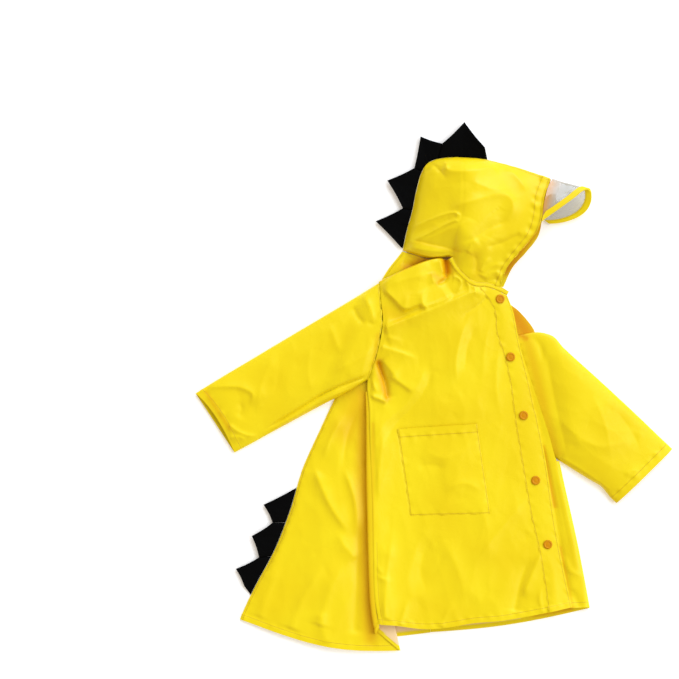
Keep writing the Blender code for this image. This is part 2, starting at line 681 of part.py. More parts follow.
def back_section(i):
    """A section of the right back half from centre back to side seam, over its fold and ridge."""
    row = {name: column[i] for name, column in BACK.items()}
    seam = along(BACK_SEAM, row["seam_at"], "x y")[0]
    fold = np.array([row["x_fold"], row["y_fold"]])
    ridge = np.array([row["x_ridge"], row["y_ridge"]])
    side = np.array([smooth(SIDE_SEAM["at"], SIDE_SEAM["x"], row["y_side"]) - SIDE_GAP / 2, row["y_side"]])
    radius = FOLD_RADIUS
    out = unit(fold - seam)
    fold_centre = fold - out * (radius + WALL)
    run = back_run(seam, fold_centre, row["bow"], row["z_mid"], RUN_Z)
    turned = arc(fold_centre, out, radius, RUN_Z, BACK_CELLS["fold"])
    roll = row["roll"]
    away = unit(side - ridge)
    roll_centre = ridge + away * min(roll, np.linalg.norm(side - ridge) - SIDE_GAP)
    under_z = RUN_Z + 2 * radius
    share = np.linspace(0, 1, BACK_CELLS["turn"] + 1)[1:, None]
    middle = np.column_stack([fold_centre + share * (roll_centre - fold_centre),
                              np.full(len(share), under_z)])
    over = arc(roll_centre, -away, roll, under_z, BACK_CELLS["ridge"])
    end = np.append(side, under_z + 2 * roll)[None]
    return np.concatenate([run, turned, middle, over, end])


def back_right(yellow):
    lower = [back_section(i) for i in range(len(BACK["roll"]))]
    upper = []
    for at, x, y in zip(BACK_TOP["seam_at"], BACK_TOP["x_end"], BACK_TOP["y_end"]):
        seam = along(BACK_SEAM, at, "x y")[0]
        run = back_run(seam, np.array([x, y]), 0, RUN_Z + 0.6, RUN_Z)
        hidden = np.repeat(run[-1:], len(lower[0]) - len(run), axis=0)
        upper.append(np.concatenate([run, hidden]))
    top = smooth(range(4), upper + [lower[0]], places((0, 3, 7)))
    body = smooth(range(len(lower)), lower, places((0, 1, 3), (1, 6, 12), (6, 7, 3)))
    outer = np.concatenate([top[:-1], body])
    outer[..., 2] += back_folds(outer)
    keep = np.ones((outer.shape[0] - 1, outer.shape[1] - 1), bool)
    keep[: len(top) - 1, BACK_RUN_COLUMNS:] = False
    wall("back_right", outer, yellow, keep=keep, lowest=CLOTH_TOP + GAP)


def back_folds(outer):
    """The creases of the back, on its open run alone."""
    place = np.arange(outer.shape[1])
    open_run = ease((place - 3) / 3) * ease((BACK_RUN_COLUMNS - place) / 3)
    lift = fold_lift(outer[..., 0], outer[..., 1], BACK_FOLDS)
    return lift * open_run


def left_side_seam(y, aside):
    """A point of the straight left side seam at height y in plan, moved aside by that much."""
    return np.array([on_line(LEFT_SEAM_TOP, LEFT_SEAM_FOOT, y) + aside, y])


def back_left(yellow):
    """The bottom layer under the back, flat on the ground, from centre back to left side seam."""
    rows = []
    for at, y in enumerate(BACK_LEFT_SIDE):
        seam = along(BACK_SEAM, at, "x y")[0] + (BACK_INSET, 0)
        share = np.linspace(0, 1, 9)[:, None]
        line = seam + share * (left_side_seam(y, -GAP) - seam)
        line[:, 1] -= ease((at - 7) / 3) * BACK_SAG * np.sin(math.pi * share[:, 0] ** 0.9)
        rows.append(np.column_stack([line, np.full(len(line), CLOTH_TOP)]))
    outer = smooth(range(len(rows)), rows, np.linspace(0, len(rows) - 1, 13))
    inner = outer.copy()
    inner[..., 2] = 0
    slab("back_left", outer, inner, yellow)


LEFT_CELLS = dict(strip=3, fold=6, low=5)


def left_section(i):
    """A section of the left front: strip, fold along the outline and bottom layer."""
    row = {name: column[i] for name, column in LEFT_FRONT.items()}
    inner, strip, low = (
        np.array([row[f"x_{name}"], row[f"y_{name}"]]) for name in ("inner", "strip", "low")
    )
    seam = left_side_seam(row["y_seam"], 0)
    share = np.linspace(0, 1, LEFT_CELLS["strip"] + 1)[:, None]
    top = np.column_stack([inner + share * (strip - inner), np.full(len(share), STRIP_Z)])
    radius = STRIP_Z / 2
    angle = np.linspace(0, math.pi, LEFT_CELLS["fold"] + 1)[1:-1, None]
    out = unit(strip - inner)
    blend = strip + (low - strip) * angle / math.pi
    fold = np.column_stack([blend + np.sin(angle) * radius * 1.2 * out,
                            radius + radius * np.cos(angle[:, 0])])
    share = np.linspace(0, 1, LEFT_CELLS["low"] + 1)[:, None]
    bottom = low + share * (seam - low)
    sag = ease((i - 10) / 2) * OUTLINE_BOW
    bottom[:, 1] -= sag * np.sin(math.pi * share[:, 0])
    return np.concatenate([top, fold, np.column_stack([bottom, np.zeros(len(share))])])


def left_front(yellow):
    control = [left_section(i) for i in range(len(LEFT_FRONT["x_low"]))]
    down = np.concatenate([np.arange(LEFT_UNDERARM), places((LEFT_UNDERARM, len(control) - 1, 8))])
    outer = smooth(range(len(control)), control, down)
    keep = np.ones((outer.shape[0] - 1, outer.shape[1] - 1), bool)
    first = LEFT_CELLS["strip"]
    keep[:LEFT_UNDERARM, first:first + LEFT_CELLS["fold"]] = False
    wall("left_front", outer, yellow, keep=keep)


# ---------------------------------------------------------------- the sleeves

SLEEVE_SIDES = 20
SLEEVE_EDGE = 3.1  # height of the tube's widest place above what it lies on
CROWN_POWER, FLAT_POWER = 2.6, 7.0  # of the section's upper and lower half
SUPPORT = dict(x=-88.0, y=185.0, x_end=-167.0, y_end=-14.0, top=RUN_Z + 1.3, slope=30.0)


def back_support(x, y):
    """Height of what the right sleeve lies on: the back panel, easing to the ground beyond it."""
    run = np.array([SUPPORT["x_end"] - SUPPORT["x"], SUPPORT["y_end"] - SUPPORT["y"]])
    run /= np.linalg.norm(run)
    beyond = (y - SUPPORT["y"]) * run[0] - (x - SUPPORT["x"]) * run[1]
    return SUPPORT["top"] * ease(1 - (-beyond - 1) / SUPPORT["slope"])


def sleeve_rings(sections, folds, support, steps):
    """Rings of a flattened tube, superellipses with a crowned top and a flat underside."""
    at = places(*steps)
    columns = "x_upper y_upper x_under y_under bulge height"
    rows = along(sections, at, columns)
    turn = np.arange(SLEEVE_SIDES) * 2 * math.pi / SLEEVE_SIDES
    top = np.sin(turn) >= -1e-9
    power = np.where(top, CROWN_POWER, FLAT_POWER)
    across = -np.sign(np.cos(turn)) * np.abs(np.cos(turn)) ** (2 / power)
    rise = np.abs(np.sin(turn)) ** (2 / power)
    share = 0.5 + 0.5 * across
    x = rows[:, 0:1] + share * (rows[:, 2:3] - rows[:, 0:1])
    y = rows[:, 1:2] + share * (rows[:, 3:4] - rows[:, 1:2])
    x += rows[:, 4:5] * np.sin(math.pi * share)
    height = rows[:, 5:6]
    base = support(x, y)
    crowned = SLEEVE_EDGE + (height - SLEEVE_EDGE) * rise
    z = base + np.where(top, crowned, SLEEVE_EDGE * (1 - rise))
    lift = fold_lift(x, y, folds) * np.where(top, rise, 0)
    z += lift * ease((at[:, None] - 0.02) / 0.1)
    return np.stack([x, y, z], axis=-1), at


def cuff_rise(grid, at, sections):
    """Extra cloth of the turned hem round the cuff, on the half that is off the ground."""
    x, y = sections["x_upper"], sections["y_upper"]
    hem = CUFF_HEM_WIDTH / math.hypot(x[-1] - x[0], y[-1] - y[0])
    raised = CUFF_HEM_RISE * (at >= 1 - hem - 1e-6)
    return raised[:, None] * (grid[..., 2] > SLEEVE_EDGE)


def sleeve_right(yellow):
    steps = ((0, 0.12, 3), (0.12, 0.5, 5), (0.5, 0.95, 6), (0.95, 1, 1))
    grid, at = sleeve_rings(SLEEVE_RIGHT, SLEEVE_RIGHT_FOLDS, back_support, steps)
    wall("sleeve_right", grid, yellow, closed=True, raised=cuff_rise(grid, at, SLEEVE_RIGHT))


def sleeve_left(yellow):
    steps = ((0, 0.05, 1), (0.05, 0.2, 3), (0.2, 0.94, 8), (0.94, 1, 1))
    def ground(x, y):
        return np.zeros_like(x)

    grid, at = sleeve_rings(SLEEVE_LEFT, SLEEVE_LEFT_FOLDS, ground, steps)
    grid = grid[:, ::-1]
    wall("sleeve_left", grid, yellow, closed=True, raised=cuff_rise(grid, at, SLEEVE_LEFT))


# ---------------------------------------------------------------- the hood

HOOD_SPLIT = 4.6  # the part of the hood seam that is the grid's back edge; the rest is its top edge
HOOD_ROLL = 0.12 * (1 - np.cos(np.linspace(0, math.pi / 2, 5)))[:-1]  # close beside the back seam
HOOD_ACROSS = np.concatenate([HOOD_ROLL, places((0.12, 0.93, 11), (0.93, 1, 1))])
NAPE_SHARE = HOOD_ACROSS[8]  # the nape takes the neck edge up to this place
CROWN_ROLL = 1 - 0.22 * np.cos(np.linspace(0, math.pi / 2, 6))[1:]  # close below the crown seam
HOOD_UP = np.concatenate([places((0, 0.78, 9)), CROWN_ROLL])
HOOD_CROWN = 19.0  # how far the hood stands proud of the patch between its edges


def hood_neck(across):
    """Neck edge of the hood's right side: the nape, then beside the neck seam."""
    nape = across < NAPE_SHARE - 1e-9
    start = along(NAPE_EDGE, across[nape] / NAPE_SHARE * 4)
    share = (across[~nape] - NAPE_SHARE) / (1 - NAPE_SHARE)
    return np.concatenate([start, neck_points(share * HOOD_NECK_END, NECK_BAND_WIDTH / 2 + NECK_GAP)])


def coons(low, high, back, face):
    """A patch blended from its four edges: low and high run across, back and face run up."""
    u = HOOD_ACROSS[None, :, None]
    v = HOOD_UP[:, None, None]
    ruled = (1 - v) * low[None] + v * high[None] + (1 - u) * back[:, None] + u * face[:, None]
    corners = (1 - v) * ((1 - u) * low[0] + u * low[-1]) + v * ((1 - u) * high[0] + u * high[-1])
    return ruled - corners


def hood_patch(neck, face_edge):
    back = along(HOOD_SEAM, HOOD_UP * HOOD_SPLIT)
    top = along(HOOD_SEAM, HOOD_SPLIT + HOOD_ACROSS * (10 - HOOD_SPLIT))
    face = along(face_edge, HOOD_UP * 6)
    neck = neck.copy()
    neck[0], neck[-1] = back[0], face[0]
    top[-1] = face[-1]
    return coons(neck, top, back, face)


def hood_right(yellow):
    grid = hood_patch(hood_neck(HOOD_ACROSS), FACE_EDGE)
    u, v = HOOD_ACROSS[None], HOOD_UP[:, None]
    dome = round_rise(u, 0.34) * round_rise(1 - v, 0.42) * ease(v / 0.5 + 0.12)
    grid[..., 2] += dome * HOOD_CROWN * (1 - ease((u - 0.45) / 0.55))
    calm = ease((u - 0.02) / 0.1) * ease((1 - v) / 0.12) * ease(v / 0.06 + 0.1)
    calm = calm * ease((1 - u) / 0.1 + 0.2)
    grid[..., 2] += fold_lift(grid[..., 0], grid[..., 1], HOOD_FOLDS) * calm
    raised = HOOD_HEM_RISE * (u > 0.92) * np.ones_like(v)
    lowest = hood_left_lower() + WALL + GAP
    lowest[-1] = np.maximum(lowest[-1], grid[-1, :, 2])
    lowest[:, 0] = np.maximum(lowest[:, 0], grid[:, 0, 2])
    wall("hood_right", grid[::-1], yellow, raised=raised[::-1], lowest=lowest[::-1],
         plumb_row=-1)


def hood_left_lower():
    """Height of the under face of the hood's left side at its grid places."""
    u, v = HOOD_ACROSS[None], HOOD_UP[:, None]
    top_seam = along(HOOD_SEAM, HOOD_SPLIT + HOOD_ACROSS * (10 - HOOD_SPLIT))[:, 2]
    back_seam = along(HOOD_SEAM, HOOD_UP * HOOD_SPLIT)[:, 2]
    face = along(UNDER_FACE_EDGE, HOOD_UP * 6)[:, 2]
    below = WALL + GAP
    top_rise = (top_seam[None] - below) * ease((v - 0.7) / 0.3) ** 1.5
    back_rise = (back_seam[:, None] - below) * ease((0.12 - u) / 0.12)
    face_rise = (face[:, None] - WALL) * ease((u - 0.72) / 0.28) ** 1.5
    return np.maximum(np.maximum(np.maximum(top_rise, face_rise), back_rise), 0)


def hood_left(yellow):
    """The hood's left side, flat on the ground but for its upper front, which rises to the seam."""
    under_neck = table(
        "at x y z",
        (0, -52.6, 236, 0), (1, -12, 203, 0), (2, 32, 172.5, 0), (3, 78, 167, 0), (4, 118, 172, 0),
    )
    neck = along(under_neck, HOOD_ACROSS * 4)
    grid = hood_patch(neck, UNDER_FACE_EDGE)
    lower = hood_left_lower()
    inner = grid.copy()
    inner[..., 2] = lower
    outer = grid.copy()
    outer[..., 2] = lower + WALL
    slab("hood_left", outer[::-1], inner[::-1], yellow)


# ---------------------------------------------------------------- the visor

VISOR_STATIONS = np.linspace(0.03, 0.97, 23)
VISOR_START = 3.5  # from the binding's fold to the clear sheet's edge within it
VISOR_SEAT = 0.1  # the clear sheet stops this far short of its root line beside the hood's edge


def visor_frames():
    """At each station the rim's point, the ways in and out of the clear sheet, and its width."""
    root = along(VISOR_ROOT, VISOR_STATIONS)
    rim = along(VISOR_RIM, VISOR_STATIONS)
    width = np.linalg.norm(root - rim, axis=1)[:, None]
    inward = (root - rim) / width
    run = np.gradient(rim, axis=0)
    normal = np.cross(inward, run)
    normal /= np.linalg.norm(normal, axis=1)[:, None]
    return rim, inward, normal, width


def visor(clear):
    rim, inward, normal, width = visor_frames()
    share = np.array([0, 0.2, 0.5, 0.8, 1])
    reach = VISOR_START + share[None, :, None] * (width - VISOR_START - VISOR_SEAT)[:, None]
    middle = rim[:, None] + inward[:, None] * reach
    half = normal[:, None] * VISOR_THICKNESS / 2
    slab("visor", middle + half, middle - half, clear)


def visor_binding(yellow):
    """A strip folded over the visor's rim: a U in section, open towards the clear sheet."""
    rim, inward, normal, width = visor_frames()
    slot = VISOR_THICKNESS / 2 + BINDING_SLACK
    outside = slot + BINDING_LEAF
    depth = np.minimum(BINDING_WIDTH, 0.55 * width[:, 0] + VISOR_START - BINDING_LEAF)
    fold = np.zeros(len(depth))
    crease = np.full(len(depth), BINDING_LEAF)
    profile = (
        (fold, outside), (depth, outside), (depth, slot), (crease, slot),
        (crease, -slot), (depth, -slot), (depth, -outside), (fold, -outside),
    )
    grid = np.stack([rim + inward * reach[:, None] + normal * side for reach, side in profile], axis=1)
    capped_tube("visor_binding", grid, yellow)


def capped_tube(name, grid, material):
    """A solid swept through rings of points, its two ends closed as a bridge of quads."""
    stations, sides = grid.shape[:2]
    points = grid.reshape(-1, 3)
    faces = []
    for s in range(stations - 1):
        for k in range(sides):
            j = (k + 1) % sides
            a, b = s * sides, (s + 1) * sides
            faces += [(a + k, b + k, b + j), (a + k, b + j, a + j)]
    cap = ((0, 1, 2), (0, 2, 3), (0, 3, 7), (7, 3, 4), (7, 4, 5), (7, 5, 6))
    last = (stations - 1) * sides
    faces += [(a, b, c) for a, b, c in cap]
    faces += [(last + a, last + c, last + b) for a, b, c in cap]
    add_object(name, points, faces, material)


# ---------------------------------------------------------------- the teeth

def spike(name, base, side_from, tip, side_to, lift, black):
    """A padded cloth tooth: its base lies along the seam, its free edges meet at the tip."""
    columns = len(base)
    half = (columns - 1) // 2
    share = np.linspace(0, 1, half + 1)[:, None]
    edge = np.concatenate([
        side_from + share * (tip - side_from),
        tip + share[1:] * (side_to - tip),
    ])
    up = np.linspace(0, 1, SPIKE_ROWS)[:, None, None]
    plan = (1 - up) * base[None] + up * edge[None]
    across = np.linspace(-1, 1, columns)[None]
    reach = up[..., 0]
    puff = np.sqrt((1 - across ** 2) * np.clip(4 * reach * (1 - reach), 0, 1))
    low = (SPIKE_CLEAR + lift * reach ** 1.5) * np.ones_like(puff)
    high = low + SPIKE_EDGE + SPIKE_CROWN * puff
    slab(name, np.dstack([plan, high]), np.dstack([plan, low]), black)


def spikes(prefix, teeth, seam, black):
    """The teeth of one stretch of the centre back seam."""
    columns = "seam_from seam_to x_from y_from x_tip y_tip x_to y_to lift".split()
    for number, row in enumerate(zip(*(teeth[c] for c in columns)), 1):
        start, end, xf, yf, xt, yt, xe, ye, lift = row
        line = along(seam, np.linspace(start, end, SPIKE_COLUMNS), "x y")
        base = offset_plan(line, -SPIKE_INSET)
        ends = [np.array(p) for p in ((xf, yf), (xt, yt), (xe, ye))]
        spike(f"{prefix}_{number}", base, *ends, lift, black)


# ---------------------------------------------------------------- the whole

def main():
    for item in list(bpy.data.objects):
        bpy.data.objects.remove(item, do_unlink=True)
    yellow = finish("yellow_coated_cloth", (0.92, 0.66, 0.02), 0.38)
    black = finish("black_cloth", (0.006, 0.006, 0.007), 0.55)
    orange = finish("orange_snap_plastic", (0.80, 0.27, 0.01), 0.35)
    clear = finish("clear_vinyl", (0.92, 0.93, 0.92), 0.08, alpha=0.35)
    back_left(yellow)
    left_front(yellow)
    back_right(yellow)
    grid, down = right_front(yellow)
    pocket(yellow, grid, down)
    snap_caps(orange, placket(yellow, grid))
    neck_band(yellow)
    sleeve_right(yellow)
    sleeve_left(yellow)
    hood_left(yellow)
    hood_right(yellow)
    visor(clear)
    visor_binding(yellow)
    spikes("hood_spike", HOOD_SPIKES, HOOD_SEAM, black)
    spikes("tail_spike", TAIL_SPIKES, BACK_SEAM, black)


main()
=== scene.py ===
"""The looks of a child's hooded rain poncho laid flat on its left side: cloth, sewing, film and snaps.

Shapes are worked out in millimetres on the plan of the laid garment, +X towards the front placket and
+Y towards the hood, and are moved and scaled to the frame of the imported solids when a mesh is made.
"""

import math
from collections import namedtuple

import bmesh
import bpy
import numpy as np
from bpy.props import FloatProperty, FloatVectorProperty, IntProperty, PointerProperty
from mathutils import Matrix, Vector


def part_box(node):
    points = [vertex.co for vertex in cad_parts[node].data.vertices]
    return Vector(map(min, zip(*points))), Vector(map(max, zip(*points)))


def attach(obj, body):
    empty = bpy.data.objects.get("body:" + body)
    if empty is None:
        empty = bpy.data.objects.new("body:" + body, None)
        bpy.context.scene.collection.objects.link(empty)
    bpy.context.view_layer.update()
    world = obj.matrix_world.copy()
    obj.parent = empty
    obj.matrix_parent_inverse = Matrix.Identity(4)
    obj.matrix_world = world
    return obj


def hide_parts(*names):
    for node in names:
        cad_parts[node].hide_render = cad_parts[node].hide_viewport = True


bl_info = {
    "name": "Laid Raincoat",
    "version": (1, 0, 0),
    "blender": (4, 5, 0),
    "location": "View3D > Sidebar > Raincoat",
    "description": "Dresses the solids of a child's hooded rain poncho in cloth, sewing, film and snaps",
    "category": "Object",
}

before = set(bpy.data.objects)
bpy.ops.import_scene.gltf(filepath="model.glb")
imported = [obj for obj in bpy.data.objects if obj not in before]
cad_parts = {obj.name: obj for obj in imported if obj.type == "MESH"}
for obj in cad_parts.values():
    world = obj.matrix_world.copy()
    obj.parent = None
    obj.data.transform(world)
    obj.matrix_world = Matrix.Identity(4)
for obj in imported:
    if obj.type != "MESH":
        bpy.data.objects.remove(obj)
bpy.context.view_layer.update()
BODY = "root"

MM = 0.001
CENTRE = np.array((-0.5, 2.25, 0.0))  # point of the plan that the origin lies under
WALL = 1.2  # the solids' cloth wall, turnings included
GAP = 0.3  # what the solids of sewn pieces keep between them
TINY = 1e-6
RUN_Z = 4.2  # outer face of the back panel where it lies lowest
STRIP_Z = 8.0  # outer face of the left front under the placket


# ---------------------------------------------------------------- sizes and colours a user may change

class RaincoatSizes(bpy.types.PropertyGroup):
    cloth_thickness: FloatProperty(
        name="Cloth thickness", description="Thickness of the coated cloth",
        default=0.0008, min=0.0003, max=0.0012, unit="LENGTH",
    )
    grid_step: FloatProperty(
        name="Grid step", description="Spacing of the points that a panel is worked out at",
        default=0.0024, min=0.0018, max=0.01, unit="LENGTH",
    )
    crease_depth: FloatProperty(
        name="Crease depth", description="Depth of the creases placed by hand, 1 as laid out",
        default=1.3, min=0.0, max=2.0, subtype="FACTOR",
    )
    small_crease: FloatProperty(
        name="Small creases", description="Largest rise of the small scattered creases",
        default=0.0007, min=0.0, max=0.0015, unit="LENGTH",
    )
    pucker: FloatProperty(
        name="Pucker", description="Rise of the puckers beside a line of stitches",
        default=0.0004, min=0.0, max=0.001, unit="LENGTH",
    )
    hem_rise: FloatProperty(
        name="Hem rise", description="How far a turned hem stands above the cloth",
        default=0.0006, min=0.0, max=0.001, unit="LENGTH",
    )
    stitch_pitch: FloatProperty(
        name="Stitch pitch", description="Distance from one stitch to the next",
        default=0.0032, min=0.002, max=0.008, unit="LENGTH",
    )
    stitch_length: FloatProperty(
        name="Stitch length", description="Length of the thread that shows in one stitch",
        default=0.0025, min=0.001, max=0.006, unit="LENGTH",
    )
    thread_width: FloatProperty(
        name="Thread width", description="Width of the sewing thread",
        default=0.0005, min=0.0002, max=0.001, unit="LENGTH",
    )
    snap_radius: FloatProperty(
        name="Snap radius", description="Radius of a snap's cap",
        default=0.0075, min=0.004, max=0.0085, unit="LENGTH",
    )
    snap_sides: IntProperty(
        name="Snap sides", description="Points round a snap's cap", default=40, min=16, max=96,
    )


def colour(name, description, value):
    """A colour property in linear light."""
    return FloatVectorProperty(
        name=name, description=description, default=value, min=0.0, max=1.0, size=3, subtype="COLOR",
    )


class RaincoatColours(bpy.types.PropertyGroup):
    yellow: colour("Yellow", "Coated outer face of the cloth", (0.88, 0.70, 0.007))
    yellow_deep: colour("Deep yellow", "Outer face where the coat is thicker", (0.84, 0.63, 0.004))
    # painted shade: the darker orange painted into folds, gaps and overhangs where shade falls
    painted_shade_colour: colour("Layered yellow", "Outer face over several layers of cloth", (0.72, 0.31, 0.001))
    seam: colour("Seam", "Cloth along a line of stitches", (0.66, 0.38, 0.004))
    inside: colour("Inside", "Uncoated inner face", (0.95, 0.69, 0.38))
    thread: colour("Thread", "Sewing thread", (0.70, 0.44, 0.01))
    black: colour("Black", "Cloth of the teeth", (0.0014, 0.0014, 0.0015))
    snap: colour("Snap", "Plastic of the snap caps", (0.70, 0.28, 0.0))
    film: colour("Film", "Clear vinyl of the visor", (0.60, 0.59, 0.53))
    floor: colour("Floor", "Surface that the garment lies on", (0.95, 0.95, 0.95))


# ---------------------------------------------------------------- tables of the garment, in mm

def table(columns, *rows):
    """A table as a dictionary of named columns."""
    return dict(zip(columns.split(), np.array(rows, float).T))


# Centre back seam of the body, from the nape down to the hem.
BACK_SEAM = table(
    "at x y",
    (0, -54, 232), (1, -88, 185), (2, -117, 108), (3, -166, -12), (4, -197, -78), (5, -224, -139),
    (6, -244, -206), (7, -270, -273), (8, -302, -333), (9, -321, -372), (10, -329, -393),
)

# Centre seam of the hood, from the nape over the crown to the top of the face opening.
HOOD_SEAM = table(
    "at x y z",
    (0, -53, 236, 1.6), (1, -46, 268, 1.6), (2, -37, 301, 1.8), (3, -30, 335, 2.2), (4, -21, 366, 3),
    (5, -7, 384, 4), (6, 20, 391, 5), (7, 55, 391, 6.5), (8, 90, 387, 8.5), (9, 142, 373, 13),
    (10, 196, 354, 20),
)

# Face edges of the hood's right side and of its left side, which lies on the ground up to the visor.
FACE_EDGE = table(
    "at x y z",
    (0, 112, 180, 18), (1, 124.5, 208.5, 26), (2, 145.5, 234, 34), (3, 168, 260, 38), (4, 178, 285, 38.5),
    (5, 183, 320, 34), (6, 195.5, 353, 21.4),
)
UNDER_FACE_EDGE = table(
    "at x y z",
    (0, 118, 172, 1.2), (1, 133, 204, 1.2), (2, 155, 229, 1.2), (3, 176, 256, 1.4), (4, 183, 283, 2.2),
    (5, 188, 320, 8), (6, 196.5, 352.5, 18.6),
)

# Seam between hood and body on the right side, from the shoulder to the placket.
NECK_LINE = table(
    "at x y z",
    (0, 27, 221, 21), (1, 36, 204, 23), (2, 48, 190, 23.5), (3, 66, 177, 22), (4, 88, 175, 18.5),
    (5, 107, 169, 15.5), (6, 125, 160, 13.5),
)
# Neck edge of the hood from the centre back to the start of the neck seam.
NAPE_EDGE = table(
    "at x y z",
    (0, -53, 236, 1.6), (0.5, -42, 232, 14), (1, -30, 228, 19), (2, -8, 222.5, 22), (3, 10, 223, 21),
    (4, 24.5, 225.5, 21),
)
UNDER_NECK = table(
    "at x y z",
    (0, -52.6, 236, 0), (1, -12, 203, 0), (2, 32, 172.5, 0), (3, 78, 167, 0), (4, 118, 172, 0),
)
# Top edge of the right front over the shoulder, from the armhole to the start of the neck seam.
SHOULDER_EDGE = table(
    "at x y z",
    (0, -93.6, 178, 15), (1, -72, 189, 22), (2, -44, 201.5, 25), (3, -14, 213.5, 24.5),
    (4, 8, 218.5, 22), (5, 22.5, 216.5, 20.5),
)

# Side seam between front and back, which lies on the ridge, from the hem to the underarm.
SIDE_SEAM = table(
    "at x",
    (-403, -93.2), (-384, -97.4), (-353, -101.2), (-289, -103.6), (-214, -105), (-140, -107.3),
    (-72, -109.2), (-35, -109.9), (0, -111.4), (14, -112.8),
)
SIDE_GAP = 0.16
SIDE_TUCK = np.array([(-0.1, 0, -0.3)])

# Sections of the right front at the side seam, the pocket's two sides, the placket and the edge.
FRONT = table(
    "x_side y_side x_pocket_l x_pocket_r x_stitch x_edge y_edge bow z_side z_near z_mid z_edge",
    (-90.4, 144, -44, 50, 101, 134, 128, 9, 21.7, 25, 22, 12.2),
    (-87.7, 109, -49, 52, 105, 141, 92, 3, 23.2, 21.5, 20.5, 10.8),
    (-96.8, 60, -58, 57, 118, 149.5, 55, 0, 22.0, 19, 18.5, 10.1),
    (0, 13, -64, 64, 128, 160.5, 12, 0, 12.5, 17, 17.5, 9.8),
    (0, -35, -64, 68, 134, 170, -32, 0, 17.0, 15.5, 17, 9.6),
    (0, -72, -62, 72, 137, 175.5, -53, 0, 19.0, 14.5, 15.5, 9.6),
    (0, -144, -51.5, 83, 150, 190.5, -132, 0, 19.0, 14, 15, 9.6),
    (0, -217, -41, 94, 163, 201.5, -209, 0, 19.0, 14, 14.5, 9.6),
    (0, -286, -37, 101, 178, 213, -275, 0, 19.0, 13.5, 14, 9.6),
    (0, -352, -33, 107, 187.5, 224.5, -330, -6, 19.0, 13, 12.5, 9.6),
    (0, -402, -28, 112, 193.5, 233.5, -371, -16, 18.4, 12.4, 10.6, 9.6),
)
POCKET_TOP, POCKET_FOOT = 6, 8  # rows of the front's sections, its top edge being row 0

# Sections of the right back half from the underarm down, and above it where it runs to its armhole.
BACK = table(
    "seam_at x_fold y_fold x_ridge y_ridge y_side bow z_mid roll",
    (3, -100, -6, -117, -6, -6, 0, RUN_Z + 0.6, 2.6),
    (4, -98, -60, -116, -56, -55, 0, RUN_Z + 2.5, 5.2),
    (5, -92, -144, -116, -141, -140, 0, RUN_Z + 5, 6.1),
    (6, -87, -220, -114.5, -215, -214, -2, RUN_Z + 6.5, 6.1),
    (7, -82, -296, -112.5, -290, -289, -4, RUN_Z + 7, 6.1),
    (8, -73, -366, -110, -354, -353, -8, RUN_Z + 6, 6.1),
    (9, -65, -410, -106, -389, -384, -13, RUN_Z + 5, 6.1),
    (10, -56, -446, -100.5, -417, -403, -17, RUN_Z + 3.5, 5.8),
)
BACK_TOP = table(
    "seam_at x_end y_end",
    (0, 8, 213), (1, -30, 172), (2, -77, 102),
)
BACK_LEFT_SIDE = (163, 118, 68, 8, -62, -128, -194, -264, -338, -385, -415.5)

# Sections of the left front: strip under the placket, fold along the outline, bottom layer.
LEFT_FRONT = table(
    "x_inner y_inner x_strip y_strip x_low y_low y_seam",
    (86, 141, 108, 143, 121, 148, 161),
    (92, 124, 122, 122, 148, 127, 136),
    (98, 104, 132, 101, 171, 93.6, 106),
    (101, 92, 138, 88, 0, 88, 94),
    (108, 68, 147, 64, 0, 64, 70),
    (129, 14, 164, 13, 0, 12, 10),
    (147.8, -76, 192.5, -73, 0, -74, -76),
    (154, -112, 203.5, -112, 0, -113, -114),
    (156, -124, 207.5, -124, 207.5, -124, -126),
    (164.7, -176, 219.3, -176, 219.3, -176, -178),
    (176, -255, 237, -255, 237, -255, -262),
    (190, -318, 249, -315, 249, -317, -338),
    (203, -374, 259.5, -371.5, 259.5, -375, -415),
)
LEFT_UNDERARM = 8
LEFT_ARMHOLE = slice(3, 8)
ARMHOLE_TOP, ARMHOLE_FOOT = (141.0, 90.0), (199.0, -113.0)
LEFT_SEAM_TOP, LEFT_SEAM_FOOT = (30.0, 162.0), (-6.0, -416.0)

# Sections of the sleeves from armhole to cuff.
SLEEVE_RIGHT = table(
    "at x_upper y_upper x_under y_under bulge height",
    (0, -95.2, 177.6, -115.2, 13, 13.5, 18.5),
    (0.12, -131, 155.5, -142, -3.5, 8, 18),
    (0.3, -187, 122, -184, -25.5, 2, 17),
    (0.5, -249.5, 85, -232, -51.5, 0, 16),
    (0.72, -318, 44, -280, -77.5, 0, 15),
    (0.9, -374, 10.5, -318, -98.5, 0, 13),
    (1, -405, -9, -339, -109.5, 0, 7.0),
)
SLEEVE_LEFT = table(
    "at x_upper y_upper x_under y_under bulge height",
    (0, 0, 89.8, 0, -113.5, 0, 6.0),
    (0.05, 172, 94.8, 210, -121.5, 0, 8.5),
    (0.11, 198, 90, 220, -128, 0, 11.5),
    (0.2, 219, 69.5, 234, -137, 0, 14.5),
    (0.45, 281, 13, 264, -155.5, 0, 17),
    (0.7, 336, -38, 285, -168.5, 0, 16),
    (0.9, 382.5, -82.5, 300, -186.5, 0, 14),
    (1, 404, -103, 309, -195, 0, 13),
)

# Centre lines of the visor's two edges, from the right temple over the tip to the left temple.
VISOR_ROOT = table(
    "at x y z",
    (0, 179.5, 285, 37.5), (0.25, 185, 321, 33.2), (0.4, 192, 343, 26), (0.5, 199, 354.2, 20),
    (0.6, 195.5, 343, 14), (0.75, 190, 321, 8.6), (1, 185.5, 284, 3),
)
VISOR_RIM = table(
    "at x y z",
    (0, 177, 279.5, 35.0), (0.15, 203, 298, 36.5), (0.32, 232, 319, 34), (0.45, 253, 334.5, 29),
    (0.53, 263, 334, 23), (0.62, 265.5, 318, 15.5), (0.72, 258, 301, 9.5), (0.82, 241, 288.5, 5.5),
    (0.92, 215, 280.5, 3.6), (1, 191, 278.5, 3),
)

